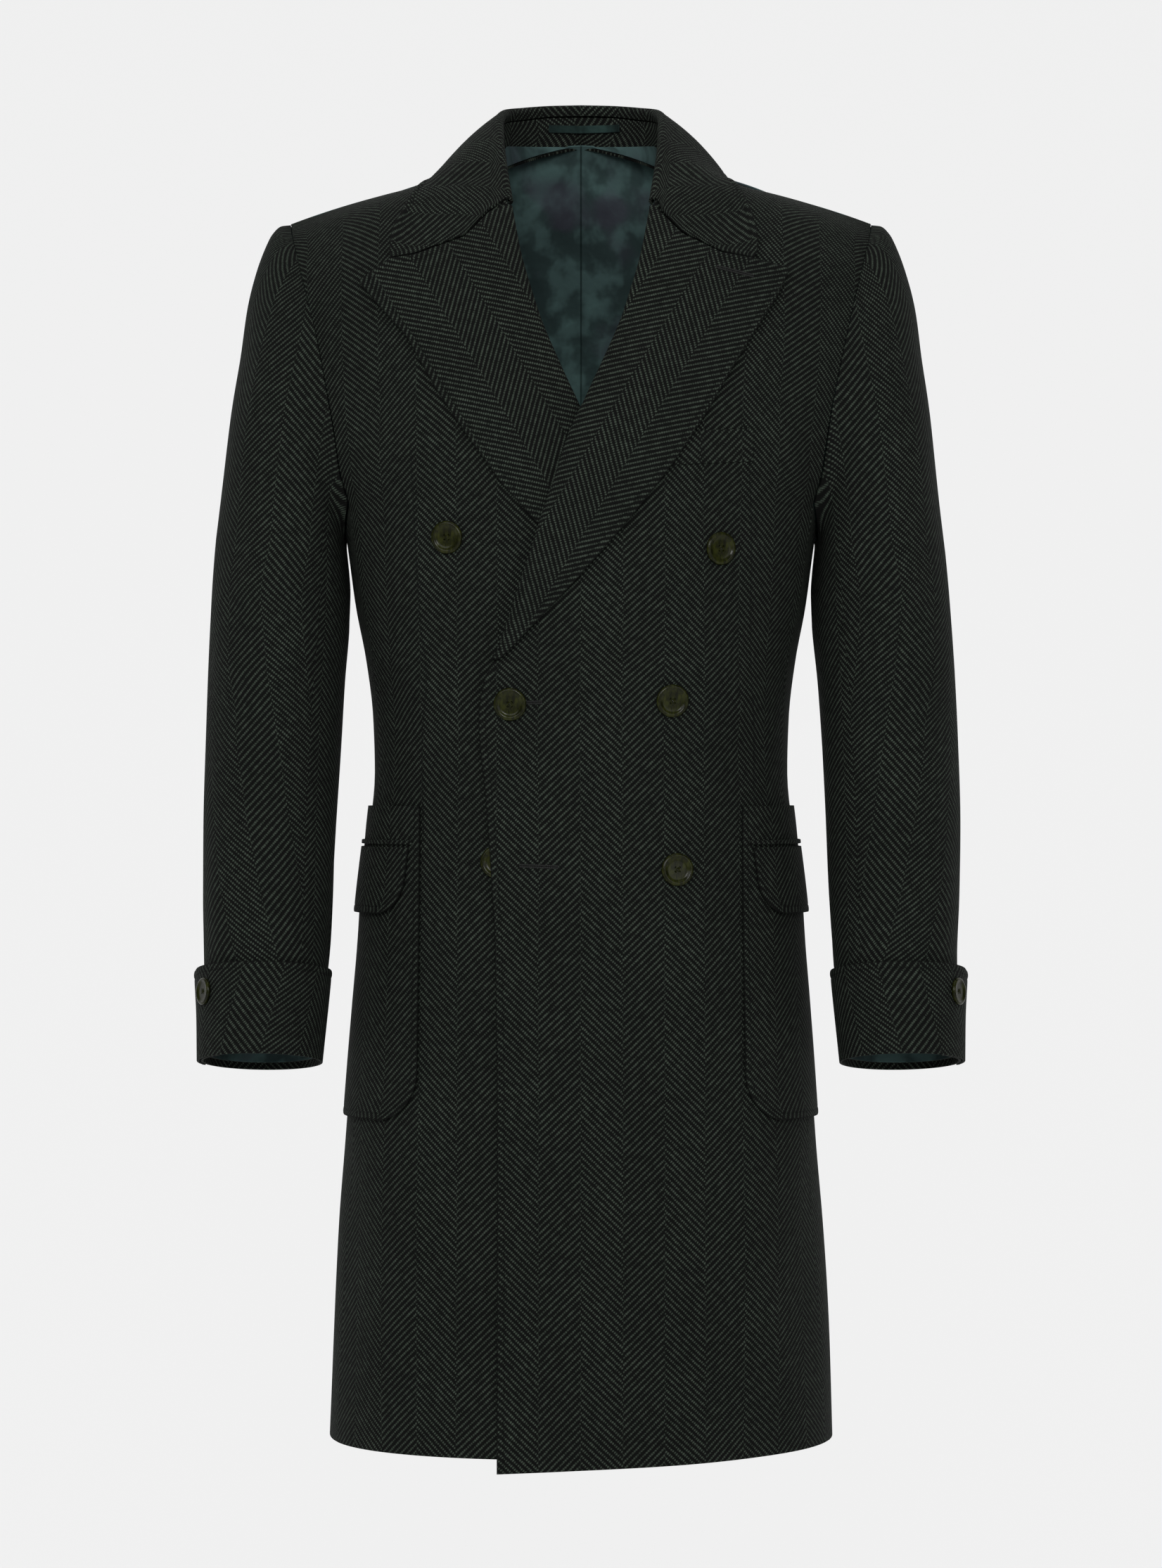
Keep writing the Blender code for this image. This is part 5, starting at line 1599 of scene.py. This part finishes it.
def make_buttons(horn, thread):
    big = button_mesh("front_button", BUTTON_RADIUS, horn, thread)
    for node, (x, z, side) in BUTTONS.items():
        at = np.array([float(x * side)]), np.array([z])
        seat = front_surface(*at, side, 0.0)[0]
        normal = unit(front_surface(*at, side, 10.0)[0] - seat)
        mirror = np.array([side, 1, 1])
        place_button(node, big, (seat + normal * BUTTON_SEAT) * mirror, normal * mirror)
    small = button_mesh("cuff_button", CUFF_BUTTON_RADIUS, horn, thread)
    for word, side in (("left", 1), ("right", -1)):
        at = np.array([CUFF_BUTTON_SECTION]), np.array([CUFF_BUTTON_TURN])
        lap = CUFF_OUT + CUFF_LAP
        low, high = (sleeve_outside(*at, out)[0] for out in (lap, lap + 10))
        normal = unit(high - low)
        mirror = np.array([side, 1, 1])
        seat = low + normal * CUFF_BUTTON_SEAT
        place_button("cuff_button_" + word, small, seat * mirror, normal * mirror)


# Buttonholes: worked slits, with stitches along both sides
BUTTONHOLES = {
    "buttonhole_lower": ((-45.3, -542.5), (-17.7, -543.5), 0),
    "buttonhole_middle": ((-45.0, -417.8), (-29.0, -417.4), 0),
    "buttonhole_lapel": ((102.7, -85.3), (130.5, -91.8), LAPEL_LIFT + WELT_ALLOWANCE),
}
HOLE_STITCHES, HOLE_RISE = 34, 0.75
STITCH_OUT, STITCH_HALF_WIDTH = 0.775, 0.6875  # from the slit to a stitch's middle, and half its width
STITCH_SHARE, STITCH_CROWN = 0.46, 0.22
STITCH_SEAT = CLOTH / 2 + 0.1


def make_buttonhole(name, start, end, over, thread):
    """A ring of close whip stitches round a slit, laid on the left front."""
    drawing = bmesh.new()
    start, end = np.array(start, float), np.array(end, float)
    direction = unit(end - start)
    across = np.array([-direction[1], direction[0]])
    length = np.linalg.norm(end - start)
    places = []
    for sign in (1, -1):
        for share in np.linspace(0, 1, HOLE_STITCHES):
            places.append(start + direction * length * share + across * sign * STITCH_OUT)
    x, z = np.array(places).T
    seats = front_surface(x, z, 1, over + STITCH_SEAT)
    aside = front_surface(x + across[0], z + across[1], 1, over + STITCH_SEAT)
    outward = np.array((0, -1.0, 0))
    for seat, beside in zip(seats, aside):
        sideways = unit(beside - seat)
        ring = []
        for angle in np.linspace(0, math.pi, 7):
            bow = sideways * STITCH_HALF_WIDTH * math.cos(angle) + outward * HOLE_RISE * math.sin(angle)
            ring.append(seat + bow)
        lengthways = np.cross(sideways, outward) * length / HOLE_STITCHES * STITCH_SHARE
        rows = [[drawing.verts.new(tuple((p + lengthways * k) * MM)) for p in ring] for k in (-1, 1)]
        ridge = [drawing.verts.new(tuple((p + outward * STITCH_CROWN) * MM)) for p in ring]
        for low, high in ((rows[0], ridge), (ridge, rows[1])):
            for i in range(6):
                face = drawing.faces.new((low[i], low[i + 1], high[i + 1], high[i]))
                face.smooth = True
    mesh = bpy.data.meshes.new(name)
    drawing.to_mesh(mesh)
    drawing.free()
    mesh.materials.append(thread)
    piece = bpy.data.objects.new(name, mesh)
    bpy.context.scene.collection.objects.link(piece)
    body = piece.modifiers.new("Body", "SOLIDIFY")
    body.thickness = 0.12 * MM
    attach(piece, "root")


# Materials
def srgb(*levels):
    """A linear colour from screen levels of 0 to 255."""
    shares = [level / 255 for level in levels]
    return tuple(v / 12.92 if v <= 0.04045 else ((v + 0.055) / 1.055) ** 2.4 for v in shares) + (1,)


class Nodes:
    """A material's nodes, with short forms for sums."""

    def __init__(self, name):
        self.material = bpy.data.materials.new(name)
        self.material.use_nodes = True
        self.tree = self.material.node_tree
        self.shader = self.tree.nodes["Principled BSDF"]

    def add(self, kind, **settings):
        node = self.tree.nodes.new(kind)
        for name, value in settings.items():
            setattr(node, name, value)
        return node

    def plug(self, socket, value):
        if isinstance(value, bpy.types.NodeSocket):
            self.tree.links.new(value, socket)
        else:
            socket.default_value = value

    def finish(self, **values):
        """Constant values of the shader's own sockets. A name's underscores stand for spaces."""
        for name, value in values.items():
            self.shader.inputs[name.replace("_", " ")].default_value = value

    def surface(self, colour, normal):
        self.plug(self.shader.inputs["Base Color"], colour)
        self.plug(self.shader.inputs["Normal"], normal)
        return self.material

    def weave_place(self):
        return self.add("ShaderNodeUVMap", uv_map="cloth_uv").outputs[0]

    def own_place(self):
        return self.add("ShaderNodeTexCoord").outputs["Object"]

    def stretched(self, vector, scale):
        node = self.add("ShaderNodeMapping")
        self.plug(node.inputs[0], vector)
        node.inputs["Scale"].default_value = scale
        return node.outputs[0]

    def math(self, operation, *values):
        node = self.add("ShaderNodeMath", operation=operation)
        for socket, value in zip(node.inputs, values):
            self.plug(socket, value)
        return node.outputs[0]

    def ease(self, value, low, high, low_out=0.0, high_out=1.0):
        node = self.add("ShaderNodeMapRange", interpolation_type="SMOOTHSTEP")
        for socket, given in zip(node.inputs, (value, low, high, low_out, high_out)):
            self.plug(socket, given)
        return node.outputs[0]

    def mix(self, share, first, second):
        node = self.add("ShaderNodeMix", data_type="RGBA")
        self.plug(node.inputs[0], share)
        self.plug(node.inputs[6], first)
        self.plug(node.inputs[7], second)
        return node.outputs[2]

    def noise(self, vector, scale, detail=2.0, roughness=0.5):
        node = self.add("ShaderNodeTexNoise")
        self.plug(node.inputs["Vector"], vector)
        node.inputs["Scale"].default_value = scale
        node.inputs["Detail"].default_value = detail
        node.inputs["Roughness"].default_value = roughness
        return node.outputs[0]

    def attribute(self, name):
        return self.add("ShaderNodeAttribute", attribute_name=name).outputs["Fac"]

    def bump(self, height, distance, strength, normal=None):
        node = self.add("ShaderNodeBump")
        node.inputs["Strength"].default_value = strength
        node.inputs["Distance"].default_value = distance
        self.plug(node.inputs["Height"], height)
        if normal is not None:
            self.plug(node.inputs["Normal"], normal)
        return node.outputs[0]


# The weave, in metres
BAND = 0.032  # width of a herringbone band
RIB = 0.0052  # between ribs, up the cloth
DASH = 0.00187  # between the light floats along a rib
WANDER = 0.0009  # how far the yarns stray
SLOPE = math.tan(math.radians(44))
DARK_YARN, LIGHT_YARN = srgb(6, 7, 6), srgb(64, 73, 64)
# PAINTED_EDGE_SHADE is painted shade: the cloth's colour goes to it within about a millimetre of a stitched
# edge, standing for the shadow along that edge
GROOVE, PAINTED_EDGE_SHADE = srgb(9, 11, 10), srgb(4, 5, 4)
FUZZ, PATCHY = 3.2, 1.8
STITCH_LINE, STITCH = 0.005, 0.0032  # from the edge, and the length of one stitch


def herringbone(nodes, u, v):
    """The wave of the ribs and the strokes along them, at u across and v up."""
    band = nodes.math("DIVIDE", u, BAND)
    number = nodes.math("FLOOR", band)
    odd = nodes.math("FLOORED_MODULO", number, 2.0)
    share = nodes.math("SUBTRACT", band, number)
    turned = nodes.math("ABSOLUTE", nodes.math("SUBTRACT", share, odd))
    rise = nodes.math("MULTIPLY", turned, BAND * SLOPE)
    ribs = nodes.math("DIVIDE", nodes.math("ADD", v, rise), RIB)
    phase = nodes.math("ADD", ribs, nodes.math("MULTIPLY", odd, 0.5))
    rib = nodes.math("SINE", nodes.math("MULTIPLY", phase, 2 * math.pi))
    cosine, sine = math.cos(math.atan(SLOPE)), math.sin(math.atan(SLOPE))
    across = nodes.math("MULTIPLY", turned, BAND * cosine)
    run = nodes.math("SUBTRACT", across, nodes.math("MULTIPLY", v, sine))
    float_wave = nodes.math("SINE", nodes.math("MULTIPLY", run, 2 * math.pi / DASH))
    height = nodes.math("SUBTRACT", 0.62, nodes.math("MULTIPLY", odd, 0.3))
    return rib, nodes.math("MULTIPLY", float_wave, height)


def overcoating():
    nodes = Nodes("overcoating")
    place = nodes.weave_place()

    def spread(noise, amount):
        return nodes.math("MULTIPLY", nodes.math("SUBTRACT", noise, 0.5), amount)

    uneven = nodes.noise(place, 420.0, 2.0)
    split = nodes.add("ShaderNodeSeparateXYZ")
    nodes.plug(split.inputs[0], place)
    wander = spread(uneven, WANDER)
    u = nodes.math("ADD", split.outputs[0], wander)
    v = nodes.math("ADD", split.outputs[1], wander)
    rib, strokes = herringbone(nodes, u, v)
    fuzz = nodes.noise(place, 1500.0, 3.0, 0.65)
    patchy = nodes.noise(place, 160.0, 3.0, 0.6)
    broad = nodes.noise(place, 14.0, 2.0)
    lift = nodes.math("ADD", rib, strokes)
    lift = nodes.math("ADD", lift, spread(fuzz, FUZZ))
    lift = nodes.math("ADD", lift, spread(patchy, PATCHY))
    tinted = nodes.add("ShaderNodeVectorMath", operation="SCALE")
    nodes.plug(tinted.inputs[0], nodes.mix(nodes.ease(lift, -0.1, 2.1), DARK_YARN, LIGHT_YARN))
    nodes.plug(tinted.inputs["Scale"], nodes.ease(broad, 0.25, 0.75, 0.88, 1.1))
    edge = nodes.attribute("edge")
    gap = nodes.math("ABSOLUTE", nodes.math("SUBTRACT", edge, STITCH_LINE))
    stitch = nodes.math("SINE", nodes.math("MULTIPLY", nodes.attribute("edge_run"), 2 * math.pi / STITCH))
    dashes = nodes.ease(stitch, -0.6, 0.6, 0.35, 1.0)
    groove = nodes.math("MULTIPLY", nodes.ease(gap, 0.0011, 0.0002), dashes)
    line = nodes.ease(nodes.math("ABSOLUTE", nodes.attribute("dart")), 0.0011, 0.0001)
    dart = nodes.math("MULTIPLY", line, nodes.attribute("dart_shown"))
    sewn = nodes.math("MAXIMUM", groove, dart)
    colour = nodes.mix(nodes.math("MULTIPLY", sewn, 0.45), tinted.outputs[0], GROOVE)
    # Painted shade: darken the last millimetre beside a stitched edge, as the shadow that falls along lapel,
    # pocket and cuff edges
    colour = nodes.mix(nodes.ease(edge, 0.0013, 0.0003, 0.0, 0.85), colour, PAINTED_EDGE_SHADE)
    seams = nodes.bump(nodes.math("SUBTRACT", 1.0, sewn), 0.0006, 0.8)
    nodes.finish(Roughness=0.92, Specular_IOR_Level=0.12, Sheen_Weight=0.0)
    return nodes.surface(colour, nodes.bump(lift, 0.00022, 0.7, seams))


def satin(name, low, high, shade):
    """Shot satin in soft patches of a painted darker shade and a painted lighter sheen, with a third tone
    where it catches the other yarn.
    """
    nodes = Nodes(name)
    place = nodes.weave_place()
    threads = nodes.noise(nodes.stretched(place, (1.0, 0.12, 1.0)), 2600.0, 2.0)
    soft = nodes.noise(place, 40.0, 3.0, 0.5)
    shot = nodes.noise(place, 17.0, 2.0)
    # Painted sheen and shade: the soft patches mix the darker low tone and the lighter high tone into the
    # colour, standing in for the satin's gloss and fold shading
    colour = nodes.mix(nodes.ease(soft, 0.42, 0.6), low, high)
    colour = nodes.mix(nodes.math("MULTIPLY", nodes.ease(shot, 0.54, 0.68), 0.6), colour, shade)
    colour = nodes.mix(nodes.math("MULTIPLY", threads, 0.2), colour, srgb(34, 38, 42))
    seam = nodes.ease(nodes.attribute("edge"), 0.0016, 0.0003)
    colour = nodes.mix(nodes.math("MULTIPLY", seam, 0.85), colour, srgb(10, 15, 15))
    nodes.finish(Roughness=0.42, Specular_IOR_Level=0.14, Specular_Tint=srgb(150, 205, 195))
    nodes.finish(Sheen_Weight=0.04, Sheen_Roughness=0.3)
    return nodes.surface(colour, nodes.bump(threads, 0.00008, 0.4, nodes.bump(soft, 0.004, 0.5)))


def horn():
    nodes = Nodes("horn")
    place = nodes.own_place()
    streaks = nodes.noise(nodes.stretched(place, (1.0, 0.35, 1.0)), 420.0, 4.0, 0.6)
    cloud = nodes.noise(place, 160.0, 3.0)
    colour = nodes.mix(nodes.ease(streaks, 0.35, 0.65), srgb(14, 16, 2), srgb(36, 39, 9))
    share = nodes.math("MULTIPLY", nodes.ease(cloud, 0.45, 0.7), 0.5)
    nodes.finish(Roughness=0.24, Specular_IOR_Level=0.12, Coat_Weight=0.03, Coat_Roughness=0.12)
    return nodes.surface(nodes.mix(share, colour, srgb(11, 12, 2)), nodes.bump(streaks, 0.00006, 0.25))


def thread_finish(name, colour):
    nodes = Nodes(name)
    twist = nodes.noise(nodes.own_place(), 2600.0, 2.0)
    nodes.finish(Roughness=0.7)
    return nodes.surface(nodes.mix(twist, colour, srgb(7, 8, 7)), nodes.bump(twist, 0.0001, 0.5))


# The studio
def plain(name, colour, glow):
    nodes = Nodes(name)
    nodes.finish(Base_Color=colour, Roughness=1.0, Emission_Color=colour, Emission_Strength=glow)
    return nodes.material


FLOOR_Z, WALL_Y, HALL, CURVE = -2.6, 5.0, 14.0, 0.4  # metres
LAMPS = (  # name, place, size, power and what it points at
    ("front", (0.0, -3.2, 0.7), 1.0, 47, (0, 0, -0.3)),
    ("key", (-1.7, -2.6, 0.9), 1.8, 32, (0, 0, -0.5)),
    ("fill", (1.9, -2.5, 0.2), 1.8, 18, (0, 0, -0.5)),
    ("overhead", (0.0, -0.4, 1.8), 1.6, 12, (0, 0, -0.5)),
)
SEEN_HEIGHT = 1.238  # what the picture takes in at the coat


def make_stage():
    """A pale floor that curves up into a wall behind the coat."""
    profile = [(-HALL, 0.0), (WALL_Y - CURVE, 0.0)]
    for step in range(1, 9):
        angle = math.pi / 2 * step / 8
        profile.append((WALL_Y - CURVE + CURVE * math.sin(angle), CURVE - CURVE * math.cos(angle)))
    profile.append((WALL_Y, HALL))
    vertices = [(x, y, FLOOR_Z + z) for x in (-HALL, HALL) for y, z in profile]
    count = len(profile)
    faces = [(i, i + 1, count + i + 1, count + i) for i in range(count - 1)]
    mesh = bpy.data.meshes.new("backdrop")
    mesh.from_pydata(vertices, [], faces)
    mesh.shade_smooth()
    mesh.materials.append(plain("paper", srgb(108, 108, 108), 5.2))
    backdrop = bpy.data.objects.new("backdrop", mesh)
    bpy.context.scene.collection.objects.link(backdrop)


def lamp(name, place, size, power, aim):
    data = bpy.data.lights.new(name, "AREA")
    data.shape = "SQUARE"
    data.size = size
    data.energy = power
    made = bpy.data.objects.new(name, data)
    bpy.context.scene.collection.objects.link(made)
    made.location = place
    made.rotation_mode = "QUATERNION"
    made.rotation_quaternion = (Vector(aim) - Vector(place)).to_track_quat("-Z", "Y")


def make_lights():
    for each in LAMPS:
        lamp(*each)
    world = bpy.data.worlds.new("studio")
    world.use_nodes = True
    sky = world.node_tree.nodes["Background"]
    sky.inputs[0].default_value = (0.9, 0.92, 0.93, 1)
    sky.inputs[1].default_value = 0.16
    bpy.context.scene.world = world
    bpy.context.scene.view_settings.view_transform = "Standard"


def make_camera():
    """Level with the middle of the coat, as the photo was taken."""
    data = bpy.data.cameras.new("camera")
    data.sensor_fit = "VERTICAL"
    data.sensor_height = 36
    data.lens = data.sensor_height * CAMERA_BACK * MM / SEEN_HEIGHT
    camera = bpy.data.objects.new("camera", data)
    camera.location = (0.0, -CAMERA_BACK * MM, CAMERA_HEIGHT * MM)
    camera.rotation_euler = (math.pi / 2, 0, 0)
    bpy.context.scene.collection.objects.link(camera)
    bpy.context.scene.camera = camera


def main():
    make_camera()
    cloth = overcoating()
    lining = satin("satin", srgb(42, 54, 54), srgb(64, 83, 82), srgb(56, 50, 63))
    for word, side in (("left", 1), ("right", -1)):
        make_front(side, word, cloth, lining)
        make_side(side, word, cloth, lining)
        make_back(side, word, cloth, lining)
        make_lining(side, word, lining)
        make_sleeve(side, word, cloth, lining, "top_sleeve_", ELBOW_SEAM - 360, FOREARM_SEAM, 70)
        make_sleeve(side, word, cloth, lining, "under_sleeve_", FOREARM_SEAM, ELBOW_SEAM, 34)
        make_cuff(side, word, cloth)
        make_lapel(side, word, cloth)
        make_pockets(side, word, cloth)
    make_welt(cloth)
    make_stand(cloth, lining)
    make_collar(cloth)
    make_loop(satin("tape", srgb(12, 17, 16), srgb(26, 38, 36), srgb(9, 12, 12)))
    dark_thread = thread_finish("buttonhole_thread", srgb(9, 11, 9))
    make_buttons(horn(), thread_finish("button_thread", srgb(74, 78, 66)))
    for name, (start, end, over) in BUTTONHOLES.items():
        make_buttonhole(name, start, end, over, dark_thread)
    make_stage()
    make_lights()


main()
